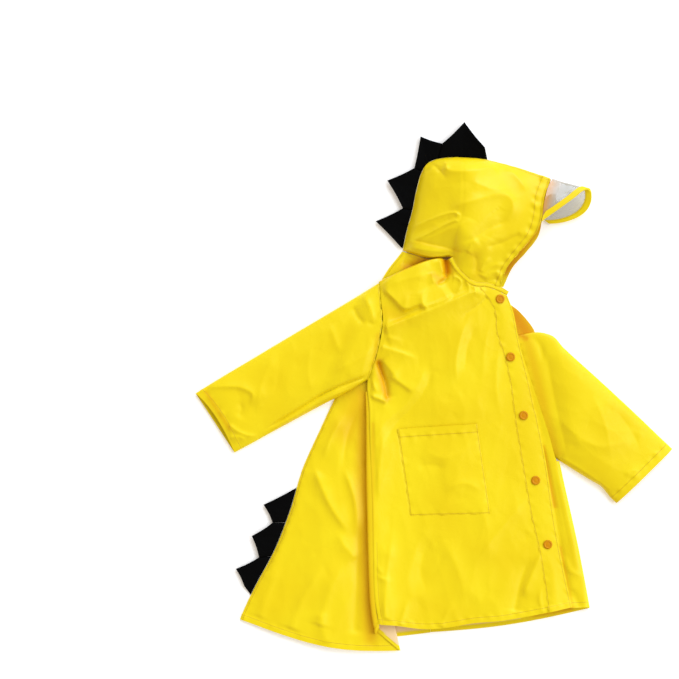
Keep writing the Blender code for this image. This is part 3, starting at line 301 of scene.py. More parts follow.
# Teeth of the hood and tail: where they leave the seam, the valley on each side and the tip.
TOOTH_COLUMNS = "seam_from seam_to x_from y_from x_tip y_tip x_to y_to lift"
HOOD_TEETH = table(
    TOOTH_COLUMNS,
    (8, 5.55, 85.5, 408, 51, 450.5, 14.6, 415.2, 6),
    (5.53, 4.08, 13.9, 414.6, -23, 426.5, -33.4, 373.6, 4),
    (4.06, 2.03, -34, 372.8, -79, 352, -53, 305.4, 5),
    (2.01, 0.06, -53.6, 304.6, -98.6, 283, -56.5, 239.5, 3),
)
TAIL_TEETH = table(
    TOOTH_COLUMNS,
    (5.47, 6.33, -237.5, -171.5, -289, -198, -274, -228, 3),
    (6.35, 7.2, -274.4, -228.8, -309, -251, -297, -287, 5),
    (7.22, 8.4, -297.5, -287.8, -336, -307, -322, -336, 3),
)
SNAPS = table("x y", (111, 151), (129, 53), (151, -46), (171.5, -156), (192, -264.5))


# ---------------------------------------------------------------- creases placed one by one, in mm

Crease = namedtuple("Crease", "rise left right path start end", defaults=(0.3, 0.3))
# rise: height of the ridge, negative for a trough; left and right: reach of the flank on that side
# of the path's direction; start and end: share of the path over which it fades in and out.

FRONT_CREASES = (
    # the bulge over the shoulder, sharp along its lower edge
    Crease(4.8, 28, 2.6, ((-92, 178), (-84, 166), (-66, 148), (-55, 136), (-51, 133), (-46, 134.5),
                          (-40, 137), (-31, 140.5), (-24, 142), (-19.5, 138), (-16, 136), (-11, 138.5),
                          (4, 144), (19, 150.5), (33, 159.5)), 0.03, 0.1),
    Crease(2.2, 15, 10, ((-84, 172), (-40, 186), (-4, 192))),
    Crease(1.9, 5, 6, ((-51, 134), (-49, 149), (-42, 168)), 0.02, 0.6),
    Crease(2.1, 4, 6, ((-18, 137), (-22, 152), (-14, 172)), 0.02, 0.6),
    Crease(1.3, 4, 5, ((-8, 212), (-30, 198), (-44, 178)), 0.2, 0.5),
    # the deep fold beside the neck and the hook under it
    Crease(-8.5, 5.5, 5, ((17, 226), (20, 209), (20.5, 197), (19, 187)), 0.02, 0.2),
    Crease(-4.5, 3, 3, ((19, 193), (20, 186), (13, 180), (3, 176)), 0.1, 0.3),
    Crease(3.4, 3, 7, ((8, 218), (12, 203), (16, 191)), 0.1, 0.2),
    Crease(2.2, 3, 8, ((-5, 197), (-4, 186), (0, 176)), 0.2, 0.3),
    Crease(1.8, 3, 4, ((29, 189), (38, 186.5), (43.5, 181), (42, 170), (34, 159)), 0.1, 0.3),
    Crease(1.4, 3, 4, ((50, 184), (57, 172), (56, 159)), 0.1, 0.4),
    Crease(1.2, 3, 3, ((66, 173), (69, 164), (66, 155)), 0.1, 0.5),
    Crease(1.2, 3, 3, ((80, 170), (78, 160), (70, 152)), 0.1, 0.5),
    # the drape from the neck down to the armhole
    Crease(6.0, 16, 5.5, ((88, 166), (60, 160), (33, 149), (-14, 129), (-66, 109), (-90, 100)), 0.15, 0.05),
    Crease(-1.8, 6, 8, ((40, 164), (-8, 144), (-60, 120), (-88, 112)), 0.2, 0.2),
    Crease(-1.8, 4, 2.6, ((90, 157), (77, 144), (52, 124), (45, 109)), 0.1, 0.5),
    Crease(2.2, 3, 12, ((-93, 71), (-60, 61), (-21, 47)), 0.03, 0.45),
    Crease(1.2, 3, 8, ((-93, 88), (-70, 84), (-50, 76)), 0.03, 0.5),
    # the crumple at the armpit
    Crease(-6.0, 4.5, 3.5, ((-97, 48), (-90, 28), (-82, 6), (-80, -20)), 0.08, 0.12),
    Crease(2.6, 8, 4, ((-108, 30), (-104, 8), (-97, -10)), 0.1, 0.3),
    Crease(3.4, 9, 2.4, ((-112, -12), (-97, -17), (-81, -24)), 0.05, 0.1),
    Crease(2.4, 10, 5, ((-88, 48), (-74, 30), (-62, 12)), 0.15, 0.4),
    Crease(2.6, 14, 2.6, ((-77, 22), (-56, 8), (-34, -8)), 0.15, 0.25),
    # the curved fold from the armpit towards the pocket
    Crease(2.2, 9, 14, ((-14, 46), (-27, 8), (-58, -36), (-80, -54), (-104, -94)), 0.2, 0.2),
    Crease(-2.4, 12, 5, ((-2, 40), (-12, 6), (-44, -38), (-64, -58), (-88, -100)), 0.2, 0.2),
    Crease(2.4, 17, 8, ((-86, -66), (-92, -120), (-99, -196)), 0.3, 0.4),
    # the light bands down the chest
    Crease(2.8, 9, 14, ((58, 122), (44, 87), (36, 46), (38, 2)), 0.25, 0.3),
    Crease(-1.5, 9, 6, ((70, 110), (56, 70), (50, 24)), 0.3, 0.4),
    Crease(1.3, 8, 9, ((96, 120), (84, 66), (82, 10)), 0.4, 0.4),
    Crease(1.2, 7, 10, ((110, 70), (104, 10), (110, -46))),
    Crease(1.4, 10, 14, ((-22, -104), (18, -118), (62, -98))),
    Crease(2.0, 14, 9, ((14, -176), (50, -160), (84, -176))),
    Crease(-1.6, 10, 12, ((-30, -138), (-12, -130), (20, -136))),
    # the skirt
    Crease(2.4, 16, 10, ((164, -176), (100, -252), (64, -306))),
    Crease(-2.6, 8, 7, ((164, -284), (147, -328), (136, -380)), 0.25, 0.05),
    Crease(2.6, 12, 5, ((186, -266), (168, -306), (148, -356)), 0.25, 0.2),
    Crease(-2.2, 16, 14, ((0, -246), (-22, -300), (-14, -350))),
    Crease(2.2, 12, 9, ((-70, -235), (-80, -310), (-86, -394)), 0.3, 0.05),
    Crease(2.0, 16, 20, ((6, -240), (40, -310), (58, -378))),
    Crease(2.2, 3, 6, ((-108, -287), (-98, -300), (-86, -318)), 0.1, 0.4),
    Crease(1.8, 3, 6, ((-101, -314), (-92, -320), (-74, -324)), 0.1, 0.5),
    Crease(1.6, 4, 6, ((-58, -400), (-50, -374), (-46, -350)), 0.02, 0.5),
    Crease(1.4, 4, 6, ((12, -404), (20, -382), (34, -360)), 0.02, 0.5),
    Crease(1.6, 3, 6, ((184, -380), (178, -356), (182, -330)), 0.02, 0.5),
)
BACK_CREASES = (
    Crease(3.6, 15, 7, ((-206, -130), (-178, -196), (-140, -252)), 0.2, 0.3),
    Crease(3.0, 10, 6, ((-154, -134), (-136, -186), (-130, -256)), 0.2, 0.3),
    Crease(2.6, 12, 10, ((-168, -240), (-150, -270), (-130, -292)), 0.3, 0.2),
    Crease(2.4, 12, 10, ((-150, -290), (-176, -340), (-196, -404)), 0.3, 0.05),
    Crease(2.4, 10, 9, ((-186, -300), (-220, -350), (-244, -410)), 0.3, 0.05),
    Crease(2.0, 8, 10, ((-194, -376), (-190, -404), (-184, -432)), 0.2, 0.05),
    Crease(2.2, 9, 12, ((-222, -170), (-256, -260), (-294, -350)), 0.3, 0.3),
    Crease(-2.6, 8, 8, ((-128, -200), (-130, -310), (-134, -420)), 0.3, 0.05),
    Crease(2.6, 6, 9, ((-150, -40), (-172, -76), (-190, -124))),
    Crease(-2.2, 8, 8, ((-126, -30), (-146, -80), (-156, -140))),
    Crease(1.6, 5, 8, ((-262, -300), (-280, -342), (-296, -390)), 0.3, 0.05),
    Crease(-1.8, 5, 5, ((-54, 214), (-32, 206), (-20, 196)), 0.05, 0.5),
)
HOOD_CREASES = (
    # the pinch at the back: two narrow ridges that meet in a rounded end
    Crease(2.4, 1.5, 3.2, ((-42, 269), (-20, 279), (-1, 287), (24, 294.5), (34, 294.5), (39, 290),
                           (38.5, 284), (32, 281), (24, 278), (-10, 260.5), (-30, 251), (-47, 244)),
           0.02, 0.02),
    Crease(-0.9, 4, 4, ((-40, 258), (0, 275), (28, 286)), 0.05, 0.1),
    # the band under it and the roll that runs on to a rounded end
    Crease(2.4, 6, 12, ((-42, 242), (-4, 256), (40, 274), (70, 284)), 0.03, 0.4),
    Crease(4.2, 12, 15, ((20, 302), (53, 312), (88, 321), (111, 326), (124, 322), (131, 310), (128, 296),
                         (118, 282)), 0.2, 0.2),
    Crease(-2.6, 8, 9, ((126, 284), (96, 272), (62, 252), (34, 242)), 0.2, 0.3),
    # the crown's facet and the crumple at its back corner
    Crease(3.2, 12, 9, ((12, 373), (22, 368), (53, 365.5), (78, 369), (105, 380)), 0.08, 0.1),
    Crease(-2.4, 4, 4, ((-20, 368), (-4, 378), (8, 368), (22, 348)), 0.1, 0.4),
    Crease(2.0, 3, 4, ((14, 388), (19, 378), (20, 366)), 0.05, 0.3),
    Crease(2.6, 12, 12, ((58, 350), (73, 343), (104, 334), (132, 338)), 0.2, 0.4),
    Crease(2.4, 9, 8, ((122, 374), (142, 352), (156, 330)), 0.1, 0.3),
    # under the roll, down to the collar
    Crease(-1.8, 6, 2.6, ((-40, 251), (-24, 247.5), (-11, 244), (19, 237.5), (36, 231), (54, 225)),
           0.03, 0.25),
    Crease(1.3, 8, 8, ((-52, 238), (-11, 233), (19, 228), (40, 220)), 0.03, 0.3),
    Crease(-2.8, 9, 9, ((62, 232), (70, 214), (68, 190)), 0.3, 0.3),
    Crease(2.6, 4, 7, ((54, 228), (62, 242), (73, 251)), 0.1, 0.3),
    Crease(-2.2, 3, 7, ((84, 237), (116, 247), (146, 262)), 0.2, 0.15),
    Crease(2.6, 8, 10, ((78, 186), (92, 204), (120, 210)), 0.1, 0.3),
    Crease(1.8, 3, 4, ((84, 182), (96, 194), (114, 196)), 0.1, 0.3),
    Crease(-1.8, 3, 3, ((90, 180), (104, 184), (112, 180)), 0.1, 0.3),
    Crease(1.8, 4, 4, ((76, 196), (82, 210), (96, 222)), 0.1, 0.4),
)
SLEEVE_RIGHT_CREASES = (
    Crease(3.2, 9, 7, ((-122, 160), (-108, 134), (-100, 108)), 0.1, 0.3),
    Crease(-2.8, 5, 6, ((-138, 140), (-130, 122), (-116, 106)), 0.2, 0.3),
    Crease(-1.8, 3, 3, ((-92, 111), (-104, 109), (-118, 113)), 0.05, 0.5),
    Crease(1.8, 8, 10, ((-178, 110), (-168, 82), (-158, 56))),
    Crease(2.4, 10, 10, ((-95, 72), (-134, 46), (-184, 22)), 0.05, 0.5),
    Crease(-5.0, 2.0, 1.8, ((-110, 22), (-177, -4), (-237, -40), (-292, -74)), 0.04, 0.2),
    Crease(4.4, 5, 4.5, ((-112, 8), (-177, -15), (-237, -49), (-288, -78)), 0.06, 0.3),
    Crease(1.4, 2.4, 4, ((-104, 34), (-116, 28), (-124, 16)), 0.1, 0.3),
    Crease(2.8, 12, 4, ((-388, 0), (-354, 3), (-328, 1), (-308, -10), (-313, -32)), 0.15, 0.2),
    Crease(-1.6, 9, 9, ((-334, -20), (-326, -36), (-334, -52))),
    Crease(1.8, 12, 12, ((-262, 66), (-292, 10), (-300, -40))),
    Crease(2.2, 3, 5, ((-350, -60), (-334, -72), (-318, -79), (-296, -81)), 0.1, 0.3),
    Crease(1.8, 3, 4, ((-348, -84), (-334, -82), (-318, -88)), 0.2, 0.3),
    Crease(1.2, 10, 12, ((-206, 84), (-214, 30), (-204, -16))),
)
SLEEVE_LEFT_CREASES = (
    Crease(2.4, 24, 14, ((200, -36), (232, -72), (270, -96), (344, -86)), 0.25, 0.25),
    Crease(-1.8, 12, 9, ((188, 66), (204, -20), (226, -118)), 0.15, 0.15),
    Crease(2.0, 3, 6, ((214, -116), (258, -144), (300, -174)), 0.1, 0.15),
    Crease(1.4, 12, 14, ((262, 0), (288, -62), (300, -130))),
    Crease(-1.2, 9, 12, ((300, -30), (332, -70), (352, -110))),
    Crease(-3.0, 5, 6, ((160, 92), (178, 74), (186, 40)), 0.1, 0.4),
    Crease(1.4, 5, 6, ((320, -150), (334, -140), (352, -142))),
)
STRIP_CREASES = (
    Crease(2.0, 4, 5, ((150, 86), (170, 20), (200, -104)), 0.1, 0.2),
    Crease(-2.6, 4, 3, ((180, -90), (192, -143), (203, -200), (215, -275), (231, -365)), 0.1, 0.05),
    Crease(1.8, 4, 4, ((206, -130), (226, -220), (246, -330)), 0.2, 0.2),
    Crease(1.6, 3, 4, ((216, -280), (232, -310), (252, -320))),
    Crease(-1.6, 4, 4, ((232, -340), (240, -356), (246, -372)), 0.2, 0.05),
)

# Painted shade: the darker orange colour painted where folds, gaps and overhangs lie in shade: x and y
# of a line's two ends, how far the colour reaches from the line, and its depth.
PAINTED_SHADE = {
    "front": (
        (18, 220, 21, 198, 8, 1.0), (20, 190, 6, 178, 4, 0.7), (-2, 192, 8, 182, 6, 0.4),
        (-95, 44, -81, -16, 6, 0.8), (-84, 130, -62, 118, 12, 0.2), (-104, -60, -106, -330, 3, 0.3),
    ),
    "back": (
        (-124, -8, -118, -290, 13, 0.5), (-118, -290, -108, -424, 13, 0.5),
        (-126, -28, -146, -70, 26, 0.4), (-46, 203, -10, 217, 9, 0.9),
    ),
    "left": (
        (138, 124, 158, 92, 20, 1.0), (184, -100, 205, -200, 4, 0.7), (214, -270, 231, -365, 3, 0.5),
        (170, -384, 232, -374, 5, 0.8),
    ),
    "sleeve_right": (
        (-96, 90, -104, 30, 4, 0.3), (-130, 8, -270, -72, 6, 0.1), (-387, -7, -347, -68, 4, 0.45),
    ),
    "sleeve_left": ((156, 88, 206, -112, 9, 0.35), (146, 92, 156, 84, 6, 0.9)),
    "hood": (
        (172, 264, 124, 200, 3, 0.5), (-52, 234, 6, 222, 2, 0.25), (-30, 247, 40, 230, 4, 0.2),
        (66, 222, 70, 190, 9, 0.15),
    ),
    "hood_left": ((178, 276, 122, 198, 8, 0.95), (188, 300, 196, 352, 9, 0.8)),
}


# ---------------------------------------------------------------- reading tables and curves

def smooth(keys, values, at):
    """Cubic curve through the values given at the keys, read at the places `at`."""
    keys, values, at = (np.asarray(a, float) for a in (keys, values, at))
    gap = np.diff(keys).reshape((-1,) + (1,) * (values.ndim - 1))
    slope = np.diff(values, axis=0) / gap
    inner = (slope[:-1] * gap[1:] + slope[1:] * gap[:-1]) / (gap[:-1] + gap[1:])
    lean = np.concatenate([slope[:1], inner, slope[-1:]])
    i = np.clip(np.searchsorted(keys, at, side="right") - 1, 0, len(keys) - 2)
    h = gap[i]
    t = (at - keys[i]).reshape(h.shape) / h
    return (
        (1 + 2 * t) * (1 - t) ** 2 * values[i]
        + t * (1 - t) ** 2 * h * lean[i]
        + t * t * (3 - 2 * t) * values[i + 1]
        + t * t * (t - 1) * h * lean[i + 1]
    )


def along(curve, at, columns="x y z"):
    """Points on the smooth curve through a table whose first column is the place along it."""
    return smooth(curve["at"], np.stack([curve[c] for c in columns.split()], axis=-1), np.atleast_1d(at))


def places(*stretches):
    """Places in even steps: for each stretch (from, to, cells), without repeating the joins."""
    runs = [np.linspace(a, b, n + 1)[:-1] for a, b, n in stretches]
    return np.concatenate(runs + [[stretches[-1][1]]])


def even_places(control, step):
    """Places down a stack of sections, at most `step` mm apart, each section itself among them."""
    widest = np.linalg.norm(np.diff(np.asarray(control), axis=0), axis=-1).max(axis=1)
    return places(*((i, i + 1, math.ceil(gap / step)) for i, gap in enumerate(widest)))


def ease(t):
    """A smooth step from 0 to 1."""
    t = np.clip(t, 0, 1)
    return t * t * (3 - 2 * t)


def unit(vector):
    return vector / np.linalg.norm(vector, axis=-1, keepdims=True)


def round_rise(distance, reach):
    """A quarter round: 0 at the edge and 1 from `reach` inwards."""
    t = np.clip(distance / reach, 0, 1)
    return np.sqrt(1 - (1 - t) ** 2)


def on_line(top, foot, y):
    """Where the straight line between two points in plan crosses y."""
    return foot[0] + (y - foot[1]) / (top[1] - foot[1]) * (top[0] - foot[0])


def offset_plan(points, distance):
    """The points moved sideways in plan, to the left of the way they run."""
    run = unit(np.gradient(points[:, :2], axis=0))
    moved = points.copy()
    moved[:, :2] += distance * np.column_stack([-run[:, 1], run[:, 0]])
    return moved


FRONT["x_side"][3:] = smooth(SIDE_SEAM["at"], SIDE_SEAM["x"], FRONT["y_side"][3:]) + SIDE_GAP / 2
LEFT_FRONT["x_low"][LEFT_ARMHOLE] = (
    on_line(ARMHOLE_TOP, ARMHOLE_FOOT, LEFT_FRONT["y_low"][LEFT_ARMHOLE]) - GAP
)
for edge in ("upper", "under"):
    SLEEVE_LEFT[f"x_{edge}"][0] = on_line(ARMHOLE_TOP, ARMHOLE_FOOT, SLEEVE_LEFT[f"y_{edge}"][0]) + GAP


# ---------------------------------------------------------------- cloth as grids

def normals_of(grid, closed=False):
    """Unit normals of a grid: the cross product of its steps down and its steps across."""
    padded = np.concatenate([grid[:, -1:], grid, grid[:, :1]], axis=1) if closed else grid
    across = np.gradient(padded, axis=1)
    across = across[:, 1:-1] if closed else across
    normal = np.cross(np.gradient(grid, axis=0), across)
    size = np.linalg.norm(normal, axis=-1, keepdims=True)
    return normal / np.where(size > 1e-9, size, 1)


def measured(grid, axis):
    """Length of cloth from the first row (axis 0) or column (axis 1) to each point."""
    steps = np.linalg.norm(np.diff(grid, axis=axis), axis=-1)
    pad = [(0, 0), (0, 0)]
    pad[axis] = (1, 0)
    return np.cumsum(np.pad(steps, pad), axis=axis)


def tucked(grid, offsets, axis, last=False):
    """The grid with its first or last row (axis 0) or column (axis 1) carried on by those offsets."""
    edge = grid.take([-1 if last else 0], axis=axis)
    more = [edge + offset for offset in offsets]
    return np.concatenate([grid] + more if last else more[::-1] + [grid], axis=axis)


HEM_EASE, HEM_OUTSIDE = 3.0, 0.4  # mm over which a hem eases down, and the share of it already past
PUCKER_WAVES = ((2.7, 0.0, 1.0), (4.3, 1.3, 0.8), (7.9, 0.4, 0.6))  # mm a radian, phase and height
PUCKER_REACH = 4.5
NO_SEAM = 100.0  # a distance to the stitches, in mm, for cloth that they don't cross


class Cut:
    """A cut piece as a grid of points in mm, with the cloth's length to each of its four edges."""

    def __init__(self, grid, closed=False):
        self.closed = closed
        self.seams = []
        self.turned = np.zeros(grid.shape[:2])
        # deep is the share of the painted shade colour at each point
        self.deep = np.zeros(grid.shape[:2])
        self.lay(grid)
        self.left = measured(grid, 1)
        self.top = measured(grid, 0)
        self.right = self.left[:, -1:] - self.left
        self.bottom = self.top[-1:] - self.top

    def lay(self, grid):
        self.grid = grid
        self.normal = normals_of(grid, self.closed)

    def raised(self, lift):
        """The piece moved out along its normals by `lift` mm."""
        self.lay(self.grid + self.normal * lift[..., None])

    def sew(self, distance, level, run, rise, pucker, share=1.0):
        """A line of stitches at `level` mm from an edge, the hem outside it, and its puckers.

        The hem stands `rise` proud and eases down inside the line. The puckers are a sum of sines
        along the run with no common period, fading either side of the line.
        """
        inside = distance - level
        hem = rise * (1 - ease(inside / HEM_EASE + HEM_OUTSIDE))
        wave = sum(height * np.sin(run / radian + phase) for radian, phase, height in PUCKER_WAVES)
        self.raised(share * (hem + pucker * wave * np.exp(-((inside / PUCKER_REACH) ** 2))))
        self.seams.append(inside)

    def line(self, distance, level, down):
        """Points and normals where `distance` crosses `level`, down each column or along each row."""
        field = distance if down else distance.T
        crossed = (field[:-1] - level) * (field[1:] - level) <= 0
        first = crossed.argmax(axis=0)
        found = np.flatnonzero(crossed.any(axis=0))
        first = first[found]
        low, high = field[first, found], field[first + 1, found]
        step = np.where(high == low, 1, high - low)
        part = ((level - low) / step)[:, None]
        sheets = [s if down else s.transpose(1, 0, 2) for s in (self.grid, self.normal)]
        return [(1 - part) * s[first, found] + part * s[first + 1, found] for s in sheets]


CREST_ROUND = 0.6
CREASE_POWER = 1.1
CREASE_REACH = 3.6  # flanks past which a crease is no longer felt
PATH_STEP, PATH_POINTS = 2, 6  # mm between the points of a crease's path, and the fewest there are


def crease_lift(x, y, crease):
    """Rise of one crease: rise * exp(-(distance / flank) ** power), faded in and out along its path.

    The distance is taken square to the path, past its ends from the end itself, and is rounded at
    the crest to sqrt(distance ** 2 + round ** 2) - round.
    """
    path = np.array(crease.path, float)
    chord = np.concatenate([[0], np.cumsum(np.linalg.norm(np.diff(path, axis=0), axis=1))])
    at = np.linspace(0, chord[-1], max(PATH_POINTS, int(chord[-1] / PATH_STEP)))
    line = smooth(chord, path, at)
    reach = CREASE_REACH * max(crease.left, crease.right)
    low, high = line.min(0) - reach, line.max(0) + reach
    near = (x > low[0]) & (x < high[0]) & (y > low[1]) & (y < high[1])
    lift = np.zeros_like(x)
    if not near.any():
        return lift
    apart = np.stack([x[near], y[near]], axis=-1)[:, None] - line
    nearest = (apart ** 2).sum(-1).argmin(1)
    apart = apart[np.arange(len(nearest)), nearest]
    run = unit(np.gradient(line, axis=0))[nearest]
    side = run[:, 0] * apart[:, 1] - run[:, 1] * apart[:, 0]
    ahead = (run * apart).sum(1)
    past_start = np.where(nearest == 0, np.minimum(ahead, 0), 0)
    past_end = np.where(nearest == len(at) - 1, np.maximum(ahead, 0), 0)
    past = past_start + past_end
    flank = np.where(side > 0, crease.left, crease.right)
    share = np.clip((at[nearest] + ahead) / chord[-1], 0, 1)
    fade_in = ease((share + TINY) / (crease.start + TINY))
    fade_out = ease((1 - share + TINY) / (crease.end + TINY))
    distance = np.sqrt(side ** 2 + past ** 2 + CREST_ROUND ** 2) - CREST_ROUND
    lift[near] = crease.rise * np.exp(-((distance / flank) ** CREASE_POWER)) * (fade_in * fade_out)
    return lift


def layers(grid, spots):
    """Depth of the painted shade: the strongest of exp(-(distance / reach) ** 2) round each line."""
    point = grid[..., :2]
    deep = np.zeros(grid.shape[:2])
    for x_from, y_from, x_to, y_to, reach, depth in spots:
        start, run = np.array((x_from, y_from)), np.array((x_to - x_from, y_to - y_from))
        share = np.clip(((point - start) @ run) / (run @ run), 0, 1)
        apart = np.linalg.norm(point - start - share[..., None] * run, axis=-1)
        deep = np.maximum(deep, depth * np.exp(-((apart / reach) ** 2)))
    return deep


# Small scattered creases: how far their angles spread in degrees, the range of their length and flank
# in mm and of their rise, how far their middles wander as a share of their length, and their fade.
SCATTER = dict(spread=32, length=(14, 62), flank=(3.5, 10), rise=(0.35, 1.0), wander=0.08, fade=0.4)
# Two sizes of facet: cell in mm, rise, and what is added to the seed and to the angle.
FACETS = ((46.0, 2.6, 0, 0), (21.0, 1.2, 50, 25))
FACET_STRETCH = 2.2
FACET_LIMIT = 1.4
FACET_SPARE = 4  # middles beyond one for each cell


def scattered(seed, count, low, high, lean):
    """Small creases scattered over a box of the plan, most of them near the angle `lean`."""
    rng = np.random.default_rng(seed)
    creases = []
    for _ in range(count):
        start = rng.uniform(low, high)
        angle = math.radians(lean + rng.normal(0, SCATTER["spread"]))
        length = rng.uniform(*SCATTER["length"])
        ahead = np.array((math.cos(angle), math.sin(angle)))
        middle = start + ahead * length / 2 + rng.normal(0, SCATTER["wander"], 2) * length
        rise = rng.uniform(*SCATTER["rise"]) * rng.choice((-1, 1))
        flanks = rng.uniform(*SCATTER["flank"], 2)
        path = (start, middle, start + ahead * length)
        creases.append(Crease(rise, *flanks, path, SCATTER["fade"], SCATTER["fade"]))
    return creases


def facets(x, y, seed, cell, lean):
    """Shallow facets with sharp crests between them, 0 at a facet's middle to about 1 at its crest.

    The square of the distance to the nearest of a set of scattered middles, over the square of the
    cell, in axes turned to `lean` and stretched along it.
    """
    turn = math.radians(lean)
    run = (x * math.cos(turn) + y * math.sin(turn)) / FACET_STRETCH
    side = -x * math.sin(turn) + y * math.cos(turn)
    low, high = (run.min(), side.min()), (run.max(), side.max())
    count = int((high[0] - low[0] + cell) * (high[1] - low[1] + cell) / cell ** 2) + FACET_SPARE
    middles = np.random.default_rng(seed).uniform(low, high, (count, 2))
    nearest = np.full(x.shape, np.inf)
    for middle in middles:
        nearest = np.minimum(nearest, (run - middle[0]) ** 2 + (side - middle[1]) ** 2)
    return np.minimum(nearest / cell ** 2, FACET_LIMIT)


def crease_cloth(grid, creases, scatter, sizes, calm, facet):
    """The grid raised by its creases: those listed, the small scattered ones and facets.

    `calm` is the share of them that each point takes, and `facet` the facets' seed and angle.
    """
    x, y = grid[..., 0], grid[..., 1]
    hand = sum(crease_lift(x, y, crease) for crease in creases)
    small = sum(crease_lift(x, y, crease) for crease in scatter)
    seed, lean = facet
    for cell, rise, seed_more, turn_more in FACETS:
        small = small + rise * facets(x, y, seed + seed_more, cell, lean + turn_more)
    lift = hand * sizes.crease_depth + small * (sizes.small_crease / MM)
    raised = grid.copy()
    raised[..., 2] += lift * calm
    return raised


def corners(values):
    """A grid's values at the four corners of each cell, in order round it."""
    return np.stack([values[:-1, :-1], values[1:, :-1], values[1:, 1:], values[:-1, 1:]], axis=2)


def new_object(name, points, faces, *finishes):
    """Points in mm and their faces as a smooth-shaded object in the frame, in metres."""
    mesh = bpy.data.meshes.new(name)
    mesh.from_pydata(((points - CENTRE) * MM).tolist(), [], faces)
    mesh.shade_smooth()
    for material in finishes:
        mesh.materials.append(material)
    item = bpy.data.objects.new(name, mesh)
    bpy.context.scene.collection.objects.link(item)
    return item


def cloth_object(name, cut, keep, *finishes):
    """A cut piece as an object: its cloth's lengths as UV in metres, its stitch lines as attributes.

    An attribute seam_N holds 1 plus the distance in metres to the stitch line, so that a mesh
    without it, which reads as 0, shows no line.
    """
    grid = cut.grid
    rows, columns = grid.shape[:2]
    number = np.arange(rows * columns).reshape(rows, columns)
    ring = grid
    if cut.closed:
        number = np.concatenate([number, number[:, :1]], axis=1)
        ring = np.concatenate([grid, grid[:, :1]], axis=1)
    lengths = np.stack([measured(ring, 1), measured(ring, 0)], axis=-1) * MM
    cells, uv = corners(number), corners(lengths)
    chosen = np.ones(cells.shape[:2], bool) if keep is None else keep
    cells, uv = cells[chosen], uv[chosen]
    used, cells = np.unique(cells, return_inverse=True)
    piece = new_object(name, grid.reshape(-1, 3)[used], cells.reshape(-1, 4).tolist(), *finishes)
    layer = piece.data.uv_layers.new(name="cut")
    layer.data.foreach_set("uv", uv.astype(np.float32).ravel())
    fields = {f"seam_{i}": 1 + inside * MM for i, inside in enumerate(cut.seams, 1)}
    fields["turned"] = cut.turned
    # deep carries the painted shade into the finishes
    fields["deep"] = cut.deep
    for title, values in fields.items():
        attribute = piece.data.attributes.new(title, "FLOAT", "POINT")
        attribute.data.foreach_set("value", values.ravel()[used].astype(np.float32))
    edge_of = np.empty(len(piece.data.loops), np.int32)
    piece.data.loops.foreach_get("edge_index", edge_of)
    cut_edge = np.bincount(edge_of, minlength=len(piece.data.edges)) == 1
    piece.data.attributes.new("sharp_edge", "BOOLEAN", "EDGE").data.foreach_set("value", cut_edge)
    return piece


def sheet_piece(name, cut, wall, nodes, keep=None,
                finishes=("coated cloth", "cloth inside")):
    """A cut piece as cloth of even thickness, its last finish within, standing for its nodes."""
    piece = cloth_object(name, cut, keep, *(finish(title) for title in finishes))
    solid = piece.modifiers.new("cloth", "SOLIDIFY")
    solid.thickness = wall
    solid.offset = -1
    solid.material_offset = len(finishes) - 1
    hold(piece, nodes)


def hold(piece, nodes):
    """The piece rides on the garment's one body and stands for its nodes, whose solids are hidden."""
    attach(piece, BODY)
    if nodes:
        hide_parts(*nodes)


# ---------------------------------------------------------------- stitches

STITCH_LIFT = 0.25  # thread widths that the middle of a stitch's barrel stands above the cloth
STITCH_BARREL = 0.22  # half the length of the barrel as a share of the stitch


def read_line(values, reach, at):
    """The rows of `values`, one for each length in `reach`, read at the lengths `at`."""
    return np.stack([np.interp(at, reach, values[:, k]) for k in range(3)], axis=-1)


def stitches(name, lines, sizes):
    """Lines of sewing thread as one mesh: each stitch is a four-sided spindle sunk at both ends."""
    pitch, length, width = (s / MM for s in (sizes.stitch_pitch, sizes.stitch_length, sizes.thread_width))
    middles, frames = [], []
    for points, normals in lines:
        reach = np.concatenate([[0], np.cumsum(np.linalg.norm(np.diff(points, axis=0), axis=1))])
        at = np.arange(pitch, reach[-1] - pitch / 2, pitch)
        up = unit(read_line(normals, reach, at))
        ahead = unit(read_line(points, reach, at + 1) - read_line(points, reach, at - 1))
        middles.append(read_line(points, reach, at))
        frames.append(np.stack([ahead, np.cross(up, ahead), up], axis=1))
    middles, frames = np.concatenate(middles), np.concatenate(frames)
    turn = np.arange(4) * math.pi / 2
    round_it = np.sin(turn) * width / 2 + width * STITCH_LIFT
    ring = np.column_stack([np.zeros(4), np.cos(turn) * width / 2, round_it])
    barrel_end = (length * STITCH_BARREL, 0, 0)
    spindle = np.concatenate([
        [(-length / 2, 0, -width / 2)], ring - barrel_end, ring + barrel_end,
        [(length / 2, 0, -width / 2)]])
    points = middles[:, None] + np.einsum("pk,nkx->npx", spindle, frames)
    side = np.arange(4)
    after = (side + 1) % 4
    last = len(spindle) - 1
    tips = np.concatenate([
        np.column_stack([np.zeros(4, int), 1 + after, 1 + side]),
        np.column_stack([np.full(4, last), 5 + side, 5 + after])])
    barrel = np.column_stack([1 + side, 1 + after, 5 + after, 5 + side])
    start = np.arange(len(middles))[:, None, None] * len(spindle)
    faces = [(block + start).reshape(-1, block.shape[1]).tolist() for block in (tips, barrel)]
    piece = new_object(name, points.reshape(-1, 3), faces[0] + faces[1], finish("sewing thread"))
    hold(piece, ())


# ---------------------------------------------------------------- the right front and what lies on it

